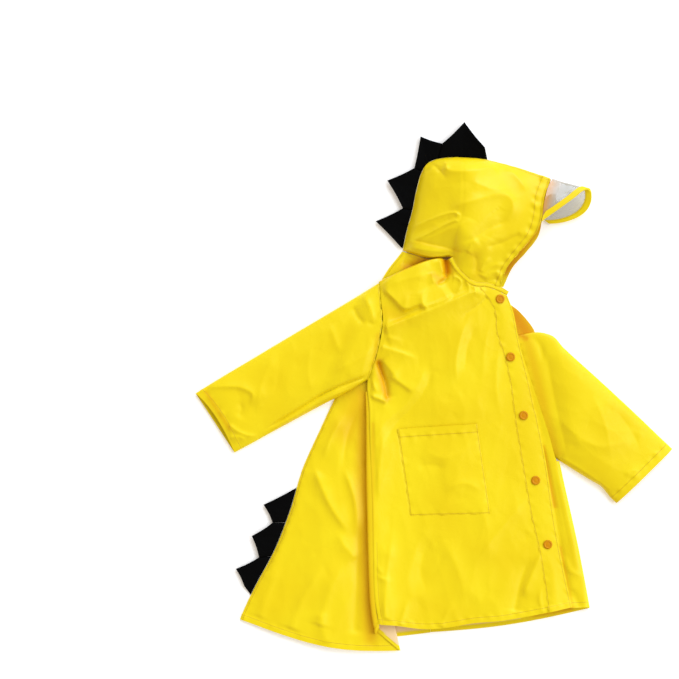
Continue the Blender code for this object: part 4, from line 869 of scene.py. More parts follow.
FRONT_CELLS = (24, 54, 30, 16)  # across, between the sections' five stations
SHOULDER_END = 1.62
SHOULDER_FADE = 0.3
SHOULDER_ROLL = np.array([-1.2, 2.2, 0])
SHOULDER_FOOT = 8.6
SHOULDER_ROWS = 8
NECK_BAND_WIDTH = 6.4
NECK_BAND_RISE = 1.0
NECK_GAP = 0.9
BAND_SPREAD = 0.75
EDGE_FALL = 1.6
HEM_WIDTH = 9.0
HEM_SWAY = np.array([5.5, 4.0])  # how far the front's hem rises at the notch and under the pocket
HEM_SWAY_AT, HEM_SWAY_REACH = np.array([-68.0, 66.0]), np.array([34.0, 40.0])
POCKET_HEM_WIDTH = 14.0
SEAM_CREST = 0.5
SINK = 0.72  # how far the front is pressed in below what is sewn on it
SINK_REACH = 1.2
# Lines of stitches, in mm from the edge of the piece.
POCKET_SEAM = 1.6
PLACKET_SEAM = 1.4
PLACKET_EDGE_SEAM = PLACKET_SEAM + 1.5  # along the placket's outer edge
CENTRE_BACK_SEAM = 5.0
FACE_EDGE_SEAM = 3.0
CROWN_SEAM = 4.0
HOOD_BACK_SEAM = 3.5
NECK_BAND_SEAM = 1.3
BINDING_SEAM = 1.8
PLACKET_CROWN, POCKET_CROWN = 0.8, 0.8
EDGE_FLUSH = 0.75  # how far a sewn-on edge is drawn down onto the front


def neck_points(at, side):
    """Points beside the neck seam: `side` mm to its left, towards the hood, or right, the body."""
    line_at = np.linspace(0, 6, 121)
    return smooth(line_at, offset_plan(along(NECK_LINE, line_at), side), at)


def front_grid(step):
    """Outer points of the right front: cubic curves down through its sections at each place across."""
    across = places(*((i, i + 1, n) for i, n in enumerate(FRONT_CELLS)))
    shoulder = across < SHOULDER_END
    over = along(SHOULDER_EDGE, across[shoulder] / SHOULDER_END * 5)
    share = (across[~shoulder] - SHOULDER_END) / (4 - SHOULDER_END)
    neck = neck_points(share * 6, -(NECK_BAND_WIDTH / 2 + NECK_GAP))
    control = [np.concatenate([over, neck])]
    for values in zip(*FRONT.values()):
        row = dict(zip(FRONT, values))
        stations = np.array([[row[f"x_{s}"]] for s in ("side", "pocket_l", "pocket_r", "stitch", "edge")])
        x = smooth(range(5), stations, across)[:, 0]
        share = (x - row["x_side"]) / (row["x_edge"] - row["x_side"])
        y = row["y_side"] + share * (row["y_edge"] - row["y_side"])
        y += row["bow"] * np.sin(math.pi * share ** 0.75)
        sway = HEM_SWAY * np.exp(-(((x[:, None] - HEM_SWAY_AT) / HEM_SWAY_REACH) ** 2))
        y += sway.sum(1) * ease((-370 - row["y_side"]) / 30)
        heights = [row["z_side"], row["z_near"], row["z_mid"], row["z_edge"] + EDGE_FALL, row["z_edge"]]
        z = smooth((0, 0.16, 0.5, 0.88, 1), np.array(heights)[:, None], share)[:, 0]
        control.append(np.column_stack([x, y, z]))
    down = even_places(control, step)
    return smooth(range(len(control)), control, down), across, down


def laid_on(grid, sizes):
    """Outer points of a piece that lies on a panel: the panel's points, the gap and a wall higher."""
    above = grid.copy()
    above[..., 2] += GAP + sizes.cloth_thickness / MM
    return above


def build_fronts(sizes):
    """The right front with its shoulder roll, the placket and the pocket on it, and their stitches."""
    grid, across, down = front_grid(sizes.grid_step / MM)
    calm = ease((4 - across) / 1.0) * ease(across / 0.25) * np.ones((len(down), 1))
    scatter = scattered(3, 90, (-100, -380), (190, 180), 75)
    grid = crease_cloth(grid, FRONT_CREASES, scatter, sizes, calm, (21, 70))
    grid = tucked(grid, SIDE_TUCK, 1)
    across = np.concatenate([np.zeros(len(SIDE_TUCK)), across])
    front = Cut(grid)
    hem, pucker = sizes.hem_rise / MM, sizes.pucker / MM
    front.sew(front.bottom, HEM_WIDTH, front.left, hem, pucker)
    crest = SEAM_CREST * np.exp(-(((front.left - 2.0) / 4.0) ** 2)) * ease((down[:, None] - 3) / 1.5)
    at = [int(np.argmin(abs(across - station))) for station in (1, 2, 3)]
    beside = [front.left - front.left[:, column:column + 1] for column in at]
    rows = (down >= POCKET_TOP - TINY) & (down <= POCKET_FOOT + TINY)
    first, last = np.flatnonzero(rows)[[0, -1]]
    under_pocket = (
        ease(beside[0] / SINK_REACH) * ease(-beside[1] / SINK_REACH)
        * ease((front.top - front.top[first:first + 1]) / SINK_REACH + 1)
        * ease((front.top[last:last + 1] - front.top) / SINK_REACH))
    under_placket = ease(beside[2] / SINK_REACH)
    front.raised(crest - SINK * np.maximum(under_pocket, under_placket))
    front.seams.append(front.left - 7.0 + 100 * (down[:, None] < 8.6))
    front.turned = np.maximum(1.0 * (front.bottom < HEM_WIDTH), ease((9 - front.left) / 2))
    # painted shade in the front's folds and gaps
    front.deep = layers(front.grid, PAINTED_SHADE["front"])
    turn = ease((SHOULDER_END - across) / SHOULDER_FADE)[:, None]
    quarter = np.linspace(math.pi / 2, 0, SHOULDER_ROWS + 1)[:-1, None, None]
    roll = front.grid[0] + SHOULDER_ROLL * turn * np.sin(quarter)
    roll[..., 2:] += (SHOULDER_FOOT - front.grid[0, :, 2:]) * turn * (1 - np.cos(quarter))
    shell = Cut(np.concatenate([roll, front.grid]))
    shell.seams = [np.concatenate([np.full(roll.shape[:2], NO_SEAM), s]) for s in front.seams]
    shell.turned = np.concatenate([np.ones(roll.shape[:2]), front.turned])
    # painted shade over the whole shoulder roll
    shell.deep = np.concatenate([0.3 * np.ones(roll.shape[:2]), front.deep])
    keep = np.ones((len(shell.grid) - 1, len(across) - 1), bool)
    keep[:SHOULDER_ROWS] = across[:-1] < SHOULDER_END
    sheet_piece("right_front_panel", shell, sizes.cloth_thickness, ["right_front"],
                keep)

    strip = Cut(laid_on(front.grid[:, across >= 3], sizes))
    share = strip.left / strip.left[:, -1:]
    strip.raised(PLACKET_CROWN * np.sin(math.pi * share) - EDGE_FLUSH * (strip.left < 0.1))
    strip.sew(strip.left, PLACKET_SEAM, strip.top, 0.0, pucker * 0.8)
    strip.sew(strip.right, PLACKET_EDGE_SEAM, strip.top, 0.0, pucker * 0.5)
    strip.sew(strip.bottom, HEM_WIDTH, strip.left, hem, pucker * 0.5)
    sheet_piece("placket_strip", strip, sizes.cloth_thickness, ["placket"])

    columns = (across >= 1 - TINY) & (across <= 2 + TINY)
    pocket = Cut(laid_on(front.grid[rows][:, columns], sizes))
    sides = np.minimum(np.minimum(pocket.left, pocket.right), pocket.bottom)
    pocket.raised(POCKET_CROWN * round_rise(sides, 12) - EDGE_FLUSH * (sides < 0.1))
    pocket.sew(pocket.top, POCKET_HEM_WIDTH, pocket.left, hem, pucker)
    pocket.sew(pocket.left, POCKET_SEAM, pocket.top, 0.0, pucker * 0.7)
    pocket.sew(pocket.right, POCKET_SEAM, pocket.top, 0.0, pucker * 0.7)
    pocket.sew(pocket.bottom, POCKET_SEAM, pocket.left, 0.0, pucker * 0.7)
    sheet_piece("patch_pocket", pocket, sizes.cloth_thickness, ["pocket"])
    stitches("front_stitches", [
        front.line(front.bottom, HEM_WIDTH, True),
        strip.line(strip.left, PLACKET_SEAM, False),
        strip.line(strip.right, PLACKET_EDGE_SEAM, False),
        pocket.line(pocket.top, POCKET_HEM_WIDTH, True),
        pocket.line(pocket.left, POCKET_SEAM, False),
        pocket.line(pocket.right, POCKET_SEAM, False),
        pocket.line(pocket.bottom, POCKET_SEAM, True),
    ], sizes)


# ---------------------------------------------------------------- the left front and the two backs

LEFT_CELLS = dict(strip=14, fold=12, low=40)
OUTLINE_BOW = 7.0
BACK_INSET = 0.9
BACK_SAG = 22.0
BACK_ROLL_REACH = 7.0
FOLD_RADIUS = 1.3
RIDGE_SQUARE = 0.4
BACK_CELLS = dict(seam=8, run=52, fold=8, turn=6, ridge=14)
BACK_OPEN = BACK_CELLS["seam"] + BACK_CELLS["run"]


def left_seam_point(y, aside):
    """A point of the straight left side seam at y in plan, moved aside by that much."""
    return np.array([on_line(LEFT_SEAM_TOP, LEFT_SEAM_FOOT, y) + aside, y])


def left_section(i):
    """A section of the left front: strip, half turn along the outline, and bottom layer."""
    row = {name: column[i] for name, column in LEFT_FRONT.items()}
    inner, strip, low = (np.array([row[f"x_{n}"], row[f"y_{n}"]]) for n in ("inner", "strip", "low"))
    share = np.linspace(0, 1, LEFT_CELLS["strip"] + 1)[:, None]
    top = np.column_stack([inner + share * (strip - inner), np.full(len(share), STRIP_Z)])
    radius = STRIP_Z / 2
    angle = np.linspace(0, math.pi, LEFT_CELLS["fold"] + 1)[1:-1, None]
    blend = strip + (low - strip) * angle / math.pi
    fold = np.column_stack([blend + np.sin(angle) * radius * 1.2 * unit(strip - inner),
                            radius + radius * np.cos(angle[:, 0])])
    share = np.linspace(0, 1, LEFT_CELLS["low"] + 1)[:, None]
    bottom = low + share * (left_seam_point(row["y_seam"], 0) - low)
    bottom[:, 1] -= ease((i - 10) / 2) * OUTLINE_BOW * np.sin(math.pi * share[:, 0])
    return np.concatenate([top, fold, np.column_stack([bottom, np.zeros(len(share))])])


def build_left_front(sizes):
    """The left front: only its strip beside the placket and its hem show."""
    control = [left_section(i) for i in range(len(LEFT_FRONT["x_low"]))]
    down = even_places(control, sizes.grid_step / MM * 1.4)
    grid = smooth(range(len(control)), control, down)
    place = np.arange(grid.shape[1])
    calm = ease((LEFT_CELLS["strip"] + 2 - place) / 3) * np.ones((len(down), 1))
    scatter = scattered(11, 26, (130, -360), (250, 60), 72)
    grid = crease_cloth(grid, STRIP_CREASES, scatter, sizes, calm, (31, 75))
    cut = Cut(grid)
    cut.sew(cut.bottom, HEM_WIDTH, cut.left, sizes.hem_rise / MM, sizes.pucker / MM * 0.5,
            1.0 * (place < LEFT_CELLS["strip"]))
    cut.turned = np.maximum(1.0 * (cut.bottom < HEM_WIDTH), ease((LEFT_UNDERARM + 1 - down) / 0.5)[:, None])
    # painted shade on the left front's shoulder, its strip and hem
    cut.deep = layers(cut.grid, PAINTED_SHADE["left"])
    keep = np.ones((grid.shape[0] - 1, grid.shape[1] - 1), bool)
    first = LEFT_CELLS["strip"]
    keep[down[:-1] < LEFT_UNDERARM, first:first + LEFT_CELLS["fold"]] = False
    sheet_piece("left_front_panel", cut, sizes.cloth_thickness, ["left_front"], keep)
    points, normals = cut.line(cut.bottom, HEM_WIDTH, True)
    return points[:first + 4], normals[:first + 4]


def back_run(seam, end, bow, z_mid, z_end):
    """The panel from its rolled centre back edge to the end of its run, in plan a bowed line."""
    length = np.linalg.norm(end - seam)
    near = BACK_ROLL_REACH * (1 - np.cos(np.linspace(0, math.pi / 2, BACK_CELLS["seam"] + 1)))
    distance = np.concatenate([near, np.linspace(BACK_ROLL_REACH, length, BACK_CELLS["run"] + 1)[1:]])
    share = distance / length
    plan = seam + share[:, None] * (end - seam)
    plan[:, 1] += bow * np.sin(math.pi * share ** 1.1)
    level = smooth((0, 0.45, 1), [[RUN_Z], [z_mid], [z_end]], share)[:, 0]
    z = (WALL + GAP) + (level - WALL - GAP) * round_rise(distance, BACK_ROLL_REACH)
    return np.column_stack([plan, z])


def half_turn(centre, ahead, radius, base_z, cells, square=1.0):
    """Half a turn upwards about a level axis: out along `ahead` by sin(angle) ** square, up and back."""
    angle = np.linspace(0, math.pi, cells + 1)[1:, None]
    plan = centre + np.abs(np.sin(angle)) ** square * radius * ahead
    return np.column_stack([plan, base_z + radius * (1 - np.cos(angle[:, 0]))])


def back_section(i):
    """A section of the right back half from centre back to side seam, over its fold and ridge."""
    row = {name: column[i] for name, column in BACK.items()}
    seam = along(BACK_SEAM, row["seam_at"], "x y")[0]
    fold = np.array([row["x_fold"], row["y_fold"]])
    ridge = np.array([row["x_ridge"], row["y_ridge"]])
    side = np.array([smooth(SIDE_SEAM["at"], SIDE_SEAM["x"], row["y_side"]) - SIDE_GAP / 2, row["y_side"]])
    out = unit(fold - seam)
    fold_centre = fold - out * (FOLD_RADIUS + WALL)
    run = back_run(seam, fold_centre, row["bow"], row["z_mid"], RUN_Z)
    turned = half_turn(fold_centre, out, FOLD_RADIUS, RUN_Z, BACK_CELLS["fold"])
    away = unit(side - ridge)
    roll_centre = ridge + away * min(row["roll"], np.linalg.norm(side - ridge) - SIDE_GAP)
    under_z = RUN_Z + 2 * FOLD_RADIUS
    share = np.linspace(0, 1, BACK_CELLS["turn"] + 1)[1:, None]
    middle = np.column_stack([fold_centre + share * (roll_centre - fold_centre),
                              np.full(len(share), under_z)])
    over = half_turn(roll_centre, -away, row["roll"], under_z, BACK_CELLS["ridge"], RIDGE_SQUARE)
    end = np.append(side, under_z + 2 * row["roll"])[None]
    return np.concatenate([run, turned, middle, over, end])


def build_backs(sizes):
    """The right back half over its fold and ridge, and the left half flat on the ground."""
    step = sizes.grid_step / MM
    lower = [back_section(i) for i in range(len(BACK["roll"]))]
    upper = []
    for at, x, y in zip(BACK_TOP["seam_at"], BACK_TOP["x_end"], BACK_TOP["y_end"]):
        run = back_run(along(BACK_SEAM, at, "x y")[0], np.array([x, y]), 0, RUN_Z + 0.6, RUN_Z)
        upper.append(np.concatenate([run, np.repeat(run[-1:], len(lower[0]) - len(run), axis=0)]))
    top = smooth(range(4), upper + [lower[0]], even_places(upper + [lower[0]], step * 2))
    body = smooth(range(len(lower)), lower, even_places(lower, step * 1.2))
    grid = np.concatenate([top[:-1], body])
    place = np.arange(grid.shape[1])
    calm = ease((place - 3) / 9) * ease((BACK_OPEN - place) / 9) * np.ones((len(grid), 1))
    scatter = scattered(5, 60, (-300, -400), (-110, -40), 68)
    grid = crease_cloth(grid, BACK_CREASES, scatter, sizes, calm, (41, 66))
    cut = Cut(grid)
    hem, pucker = sizes.hem_rise / MM, sizes.pucker / MM
    cut.sew(cut.bottom, HEM_WIDTH, cut.left, hem, pucker)
    cut.sew(cut.left, CENTRE_BACK_SEAM, cut.top, 0.0, pucker * 0.6)
    cut.turned = np.maximum(1.0 * (cut.bottom < HEM_WIDTH), ease((8 - cut.right) / 2))
    # painted shade beside the ridge, at the armpit and at the nape
    cut.deep = layers(cut.grid, PAINTED_SHADE["back"])
    keep = np.ones((grid.shape[0] - 1, grid.shape[1] - 1), bool)
    keep[: len(top) - 1, BACK_OPEN:] = False
    sheet_piece("back_right_panel", cut, sizes.cloth_thickness, ["back_right"], keep)
    hem_line = [line[:BACK_OPEN] for line in cut.line(cut.bottom, HEM_WIDTH, True)]

    rows = []
    for at, y in enumerate(BACK_LEFT_SIDE):
        seam = along(BACK_SEAM, at, "x y")[0] + (BACK_INSET, 0)
        share = np.linspace(0, 1, 61)[:, None]
        line = seam + share * (left_seam_point(y, -GAP) - seam)
        line[:, 1] -= ease((at - 7) / 3) * BACK_SAG * np.sin(math.pi * share[:, 0] ** 0.9)
        rows.append(np.column_stack([line, np.full(len(line), 0.1)]))
    under = smooth(range(len(rows)), rows, even_places(rows, step * 2.5))
    left = Cut(under[:, ::-1])
    left.turned = ease((HEM_WIDTH - left.bottom) / 1.0)
    sheet_piece("back_left_panel", left, sizes.cloth_thickness, ["back_left"])
    return [hem_line, cut.line(cut.left, CENTRE_BACK_SEAM, False)]


# ---------------------------------------------------------------- the sleeves

SLEEVE_TOP_CELLS, SLEEVE_FLAT_CELLS = 84, 36
SLEEVE_EDGE = 3.1
CROWN_POWER, FLAT_POWER = 2.6, 7.0
SUPPORT = dict(x=-88.0, y=185.0, x_end=-167.0, y_end=-14.0, top=RUN_Z + 1.3, slope=30.0)
RIGHT_TUCKS = np.array([(1.0, 0, -0.1), (1.06, 0, -1.0)])  # where a sleeve dips into its armhole seam
LEFT_TUCKS = np.array([(-2.0, 0, -0.4), (-4.5, 0, -1.2)])
ARMHOLE_GAP = 0.45
CUFF_HEM_WIDTH = 13.0
ARMHOLE_SEAM = 2.6
CUFF_PULL = 9.0  # how far the upper layer's edge curves in at the right cuff
CUFF_OPEN = 1.0  # how far that edge stands up


def back_support(x, y):
    """Height of what the right sleeve lies on: the back panel, easing to the ground beyond it."""
    run = np.array([SUPPORT["x_end"] - SUPPORT["x"], SUPPORT["y_end"] - SUPPORT["y"]])
    run /= np.linalg.norm(run)
    beyond = (y - SUPPORT["y"]) * run[0] - (x - SUPPORT["x"]) * run[1]
    return SUPPORT["top"] * ease(1 - (-beyond - 1) / SUPPORT["slope"])


def ground(x, y):
    return np.zeros_like(x)


def to_front(ring):
    """How far each point of the right sleeve's first ring is from the front's edge, less the gap."""
    y = np.append(FRONT["y_side"][3::-1], SHOULDER_EDGE["y"][0])
    x = np.append(FRONT["x_side"][3::-1], SHOULDER_EDGE["x"][0])
    return np.clip(np.interp(ring[..., 1], y, x) - ring[..., 0] - ARMHOLE_GAP, 0.2, 4.0)


def sleeve_grid(sections, creases, scatter, support, sizes, pull, lift_edge, tucks, reach, lean):
    """Rings of a flattened tube, superellipses |a|^p + |b|^p = 1 with a crowned top and flat foot.

    `a` runs from the upper to the underarm edge, half way between even steps and a cosine, so that
    the points crowd towards the edges. At the cuff the upper layer's edge is pulled in and both
    layers rise a little. `reach` says how far each tuck goes towards the panel that the sleeve is
    sewn to.
    """
    columns = "x_upper y_upper x_under y_under bulge height"
    mean = 0.5 * np.hypot(sections["x_upper"][-1] - sections["x_upper"][0],
                          sections["y_upper"][-1] - sections["y_upper"][0])
    rows = int(2 * mean / (sizes.grid_step / MM)) + 2
    at = np.linspace(0, 1, rows)[:, None]
    spread = []
    for cells in (SLEEVE_TOP_CELLS, SLEEVE_FLAT_CELLS):
        t = np.linspace(0, 1, cells + 1)[:-1]
        spread.append(0.45 * -np.cos(math.pi * t) + 0.55 * (2 * t - 1))
    a = np.concatenate([spread[0], -spread[1]])[None]
    top = np.arange(a.size)[None] < SLEEVE_TOP_CELLS
    power = np.where(top, CROWN_POWER, FLAT_POWER)
    rise = np.clip(1 - np.abs(a) ** power, 0, 1) ** (1 / power)
    share = 0.5 + 0.5 * a
    mouth = top * np.sin(math.pi * np.clip(share, 0, 1)) ** 0.8 * ease((at - 0.72) / 0.28)
    reached = at - mouth * pull / (2 * mean)
    read = along(sections, reached, columns)
    x = read[..., 0] + share * (read[..., 2] - read[..., 0]) + read[..., 4] * np.sin(math.pi * share)
    y = read[..., 1] + share * (read[..., 3] - read[..., 1])
    crowned = SLEEVE_EDGE + (read[..., 5] - SLEEVE_EDGE) * rise
    lip = ~top * rise * ease((at - 0.85) / 0.15)
    z = support(x, y) + np.where(top, crowned, SLEEVE_EDGE * (1 - rise)) + (mouth + 2 * lip) * lift_edge
    calm = np.where(top, rise, 0) * ease((at - 0.01) / 0.06)
    grid = crease_cloth(np.stack([x, y, z], axis=-1), creases, scatter, sizes, calm, (61, lean))
    sunk = np.stack([reach(grid[:1]), 0 * rise, top * rise], axis=-1)
    grid = np.concatenate([grid[:1] + tuck * sunk for tuck in tucks[::-1]] + [grid])
    return grid, top & (rise > 0.25)


def sewn_sleeve(cut, sizes, top):
    """The armhole's and cuff's stitches on a sleeve, and their lines along its upper layer."""
    hem, pucker = sizes.hem_rise / MM, sizes.pucker / MM
    cut.sew(cut.bottom, CUFF_HEM_WIDTH, cut.left, hem, pucker, 1.0 * top)
    cut.sew(cut.top, ARMHOLE_SEAM, cut.left, 0.0, pucker, 1.0 * top)
    cut.turned = np.maximum(ease((CUFF_HEM_WIDTH - cut.bottom) / 1.5), ease((10 - cut.top) / 2))
    lines = [cut.line(cut.bottom, CUFF_HEM_WIDTH, True), cut.line(cut.top, ARMHOLE_SEAM, True)]
    return [(points[top[0]], normals[top[0]]) for points, normals in lines]


def build_sleeves(sizes):
    """Both sleeves as flattened tubes open at the armhole and the cuff."""
    scatter = scattered(7, 44, (-360, -90), (-110, 150), 110)
    grid, top = sleeve_grid(SLEEVE_RIGHT, SLEEVE_RIGHT_CREASES, scatter, back_support, sizes,
                            CUFF_PULL, CUFF_OPEN, RIGHT_TUCKS, to_front, 30)
    right = Cut(grid, closed=True)
    # painted shade at the right sleeve's armhole, underarm and cuff
    right.deep = layers(grid, PAINTED_SHADE["sleeve_right"])
    lines = sewn_sleeve(right, sizes, top)
    sheet_piece("right_sleeve_tube", right, sizes.cloth_thickness, ["sleeve_right"])
    scatter = scattered(9, 40, (190, -180), (370, 60), 60)
    grid, top = sleeve_grid(SLEEVE_LEFT, SLEEVE_LEFT_CREASES, scatter, ground, sizes, 0.0, 0.5,
                            LEFT_TUCKS, lambda ring: np.ones(ring.shape[:2]), -38)
    left = Cut(grid[:, ::-1], closed=True)
    # painted shade at the left sleeve's armhole
    left.deep = layers(left.grid, PAINTED_SHADE["sleeve_left"])
    lines += sewn_sleeve(left, sizes, top[:, ::-1])[:1]
    sheet_piece("left_sleeve_tube", left, sizes.cloth_thickness, ["sleeve_left"])
    return lines


# ---------------------------------------------------------------- the hood and its neck band

HOOD_SPLIT = 4.6  # the part of the hood seam that is the grid's back edge; the rest is its top edge
HOOD_NECK_END = 5.1
NAPE_SHARE = 0.4145
HOOD_CROWN = 22.0
NAPE_ROWS = 6
NAPE_FOOT = 7.0  # height that the hood's nape edge is turned down to
NAPE_REACH = 2.6  # how far it reaches out over the back
BAND_TUCK = 1.6  # how far the hood goes in under the neck band
BAND_DIP = 1.2
FACE_HEM_WIDTH = 15.0
HOOD_ACROSS = np.concatenate([
    0.12 * (1 - np.cos(np.linspace(0, math.pi / 2, 15)))[:-1], np.linspace(0.12, 1, 104)])
HOOD_UP = np.concatenate([
    np.linspace(0, 0.78, 86)[:-1], 1 - 0.22 * np.cos(np.linspace(0, math.pi / 2, 26))])


def hood_patch(neck, face_edge):
    """A patch blended from four edges: neck and crown run across, centre back and face run up."""
    back = along(HOOD_SEAM, HOOD_UP * HOOD_SPLIT)
    crown = along(HOOD_SEAM, HOOD_SPLIT + HOOD_ACROSS * (10 - HOOD_SPLIT))
    face = along(face_edge, HOOD_UP * 6)
    neck = neck.copy()
    neck[0], neck[-1], crown[-1] = back[0], face[0], face[-1]
    u, v = HOOD_ACROSS[None, :, None], HOOD_UP[:, None, None]
    ruled = (1 - v) * neck[None] + v * crown[None] + (1 - u) * back[:, None] + u * face[:, None]
    corner = (1 - v) * ((1 - u) * neck[0] + u * neck[-1]) + v * ((1 - u) * crown[0] + u * crown[-1])
    return ruled - corner


def hood_left_lower():
    """Height of the under face of the hood's left side at its grid places."""
    u, v = HOOD_ACROSS[None], HOOD_UP[:, None]
    crown = along(HOOD_SEAM, HOOD_SPLIT + HOOD_ACROSS * (10 - HOOD_SPLIT))[:, 2]
    back = along(HOOD_SEAM, HOOD_UP * HOOD_SPLIT)[:, 2]
    face = along(UNDER_FACE_EDGE, HOOD_UP * 6)[:, 2]
    below = WALL + GAP
    top_rise = (crown[None] - below) * ease((v - 0.7) / 0.3) ** 1.5
    back_rise = (back[:, None] - below) * ease((0.12 - u) / 0.12)
    face_rise = (face[:, None] - WALL) * ease((u - 0.72) / 0.28) ** 1.5
    return np.maximum(np.maximum(np.maximum(top_rise, face_rise), back_rise), 0)


def build_hood(sizes):
    """The hood's right side with its creases, the left side under it and the band at the neck."""
    u, v = HOOD_ACROSS[None], HOOD_UP[:, None]
    nape = HOOD_ACROSS < NAPE_SHARE
    start = along(NAPE_EDGE, HOOD_ACROSS[nape] / NAPE_SHARE * 4)
    share = (HOOD_ACROSS[~nape] - NAPE_SHARE) / (1 - NAPE_SHARE)
    beside = neck_points(share * HOOD_NECK_END, NECK_BAND_WIDTH / 2 + NECK_GAP)
    grid = hood_patch(np.concatenate([start, beside]), FACE_EDGE)
    slope = 1 - (1 - np.minimum(u / 0.45, 1)) ** 1.3
    dome = slope * round_rise(1 - v, 0.2) * ease(v / 0.4 + 0.15)
    grid[..., 2] += dome * HOOD_CROWN * (1 - ease((u - 0.45) / 0.55))
    calm = ease((u - 0.02) / 0.08) * ease((1 - v) / 0.08) * ease(v / 0.06 + 0.1)
    calm = calm * ease((1 - u) / 0.1 + 0.2)
    scatter = scattered(13, 46, (-30, 190), (170, 380), 20)
    grid = crease_cloth(grid, HOOD_CREASES, scatter, sizes, calm, (71, 20))
    floor = hood_left_lower() + WALL + GAP + sizes.cloth_thickness / MM
    floor = np.minimum(floor, grid[..., 2] * (u * (1 - v) == 0) + 1e3 * (u * (1 - v) != 0))
    grid[..., 2] = np.maximum(grid[..., 2], floor)
    drop = np.linspace(0, 1, NAPE_ROWS + 1)[1:, None, None]
    foot = np.minimum(grid[0, :, 2], NAPE_FOOT + 20 * ease((HOOD_ACROSS - NAPE_SHARE + 0.05) / 0.1))
    under_band = neck_points(np.clip(share, 0, 1) * HOOD_NECK_END, NECK_BAND_WIDTH / 2 - BAND_TUCK)
    outward = np.concatenate([np.tile((0.0, -NAPE_REACH, 0.0), (nape.sum(), 1)), under_band - beside])
    outward[:, 2] = 0
    roll = grid[0] + drop ** 1.5 * outward
    dip = grid[0, :, 2] - foot + BAND_DIP * ~nape
    roll[..., 2] -= drop[..., 0] ** 1.3 * dip
    grid = np.concatenate([roll[::-1], grid])
    hood = Cut(grid[::-1])
    hem, pucker = sizes.hem_rise / MM, sizes.pucker / MM
    hood.sew(hood.right, FACE_HEM_WIDTH, hood.top, hem, pucker * 2.2)
    hood.sew(hood.right, FACE_EDGE_SEAM, hood.top, 0.0, pucker)
    hood.sew(hood.top, CROWN_SEAM, hood.left, 0.0, pucker * 0.7)
    hood.sew(hood.left, HOOD_BACK_SEAM, hood.top, 0.0, pucker * 0.5)
    hood.turned = np.maximum(ease((FACE_HEM_WIDTH - hood.right) / 1.5), ease((14 - hood.bottom) / 2))
    # painted shade under the hood's rolls and by its face edge
    hood.deep = layers(hood.grid, PAINTED_SHADE["hood"])
    sheet_piece("hood_right_side", hood, sizes.cloth_thickness, ["hood_right"])

    under = hood_patch(along(UNDER_NECK, HOOD_ACROSS * 4), UNDER_FACE_EDGE)
    under[..., 2] = hood_left_lower() + 0.1
    left = Cut(under[::-2, ::-2])
    left.turned = ease((FACE_HEM_WIDTH - left.left) / 1.5)
    # painted shade on the hood's left side beside the face and under the visor
    left.deep = layers(left.grid, PAINTED_SHADE["hood_left"])
    sheet_piece("hood_left_side", left, sizes.cloth_thickness, ["hood_left"])

    at = np.linspace(0.05, 5.95, 76)
    shares = np.array([0, 0.06, 0.2, 0.35, 0.5, 0.65, 0.8, 0.94, 1])
    half = NECK_BAND_WIDTH / 2 + BAND_SPREAD
    band = np.stack([neck_points(at, half * (1 - 2 * s)) for s in shares], axis=1)
    band[..., 2] += NECK_BAND_RISE * (0.25 + 0.75 * np.sin(math.pi * shares) ** 0.4)
    collar = Cut(band[:, ::-1].transpose(1, 0, 2)[::-1])
    for distance in (collar.top, collar.bottom):
        collar.sew(distance, NECK_BAND_SEAM, collar.left, 0.0, pucker * 0.7)
    sheet_piece("neck_band_strip", collar, sizes.cloth_thickness, ["neck_band"])
    return [
        hood.line(hood.right, FACE_HEM_WIDTH, False),
        hood.line(hood.right, FACE_EDGE_SEAM, False),
        hood.line(hood.top, CROWN_SEAM, True),
        hood.line(hood.left, HOOD_BACK_SEAM, False),
        collar.line(collar.top, NECK_BAND_SEAM, True),
        collar.line(collar.bottom, NECK_BAND_SEAM, True),
    ]


# ---------------------------------------------------------------- the visor

VISOR_STATIONS = np.linspace(0.0, 0.985, 120)
VISOR_START = 3.5
VISOR_SEAT = 0.1
FILM_THICKNESS = 0.5
BINDING_WIDTH = 11.5
BINDING_LEAF = 1.0
BINDING_SLACK = 0.6
VISOR_WALL = 1.0
BINDING_NOSE = 1.2
BINDING_LEGS = np.array([1.0, 0.96, 0.84, 0.68, 0.52, 0.36, 0.2])  # shares of the strip's depth


def visor_frames():
    """At each station the rim's point, the ways in and out of the clear sheet, and its width."""
    root, rim = along(VISOR_ROOT, VISOR_STATIONS), along(VISOR_RIM, VISOR_STATIONS)
    width = np.linalg.norm(root - rim, axis=1)[:, None]
    inward = (root - rim) / width
    normal = unit(np.cross(inward, np.gradient(rim, axis=0)))
    return rim, inward, normal, width


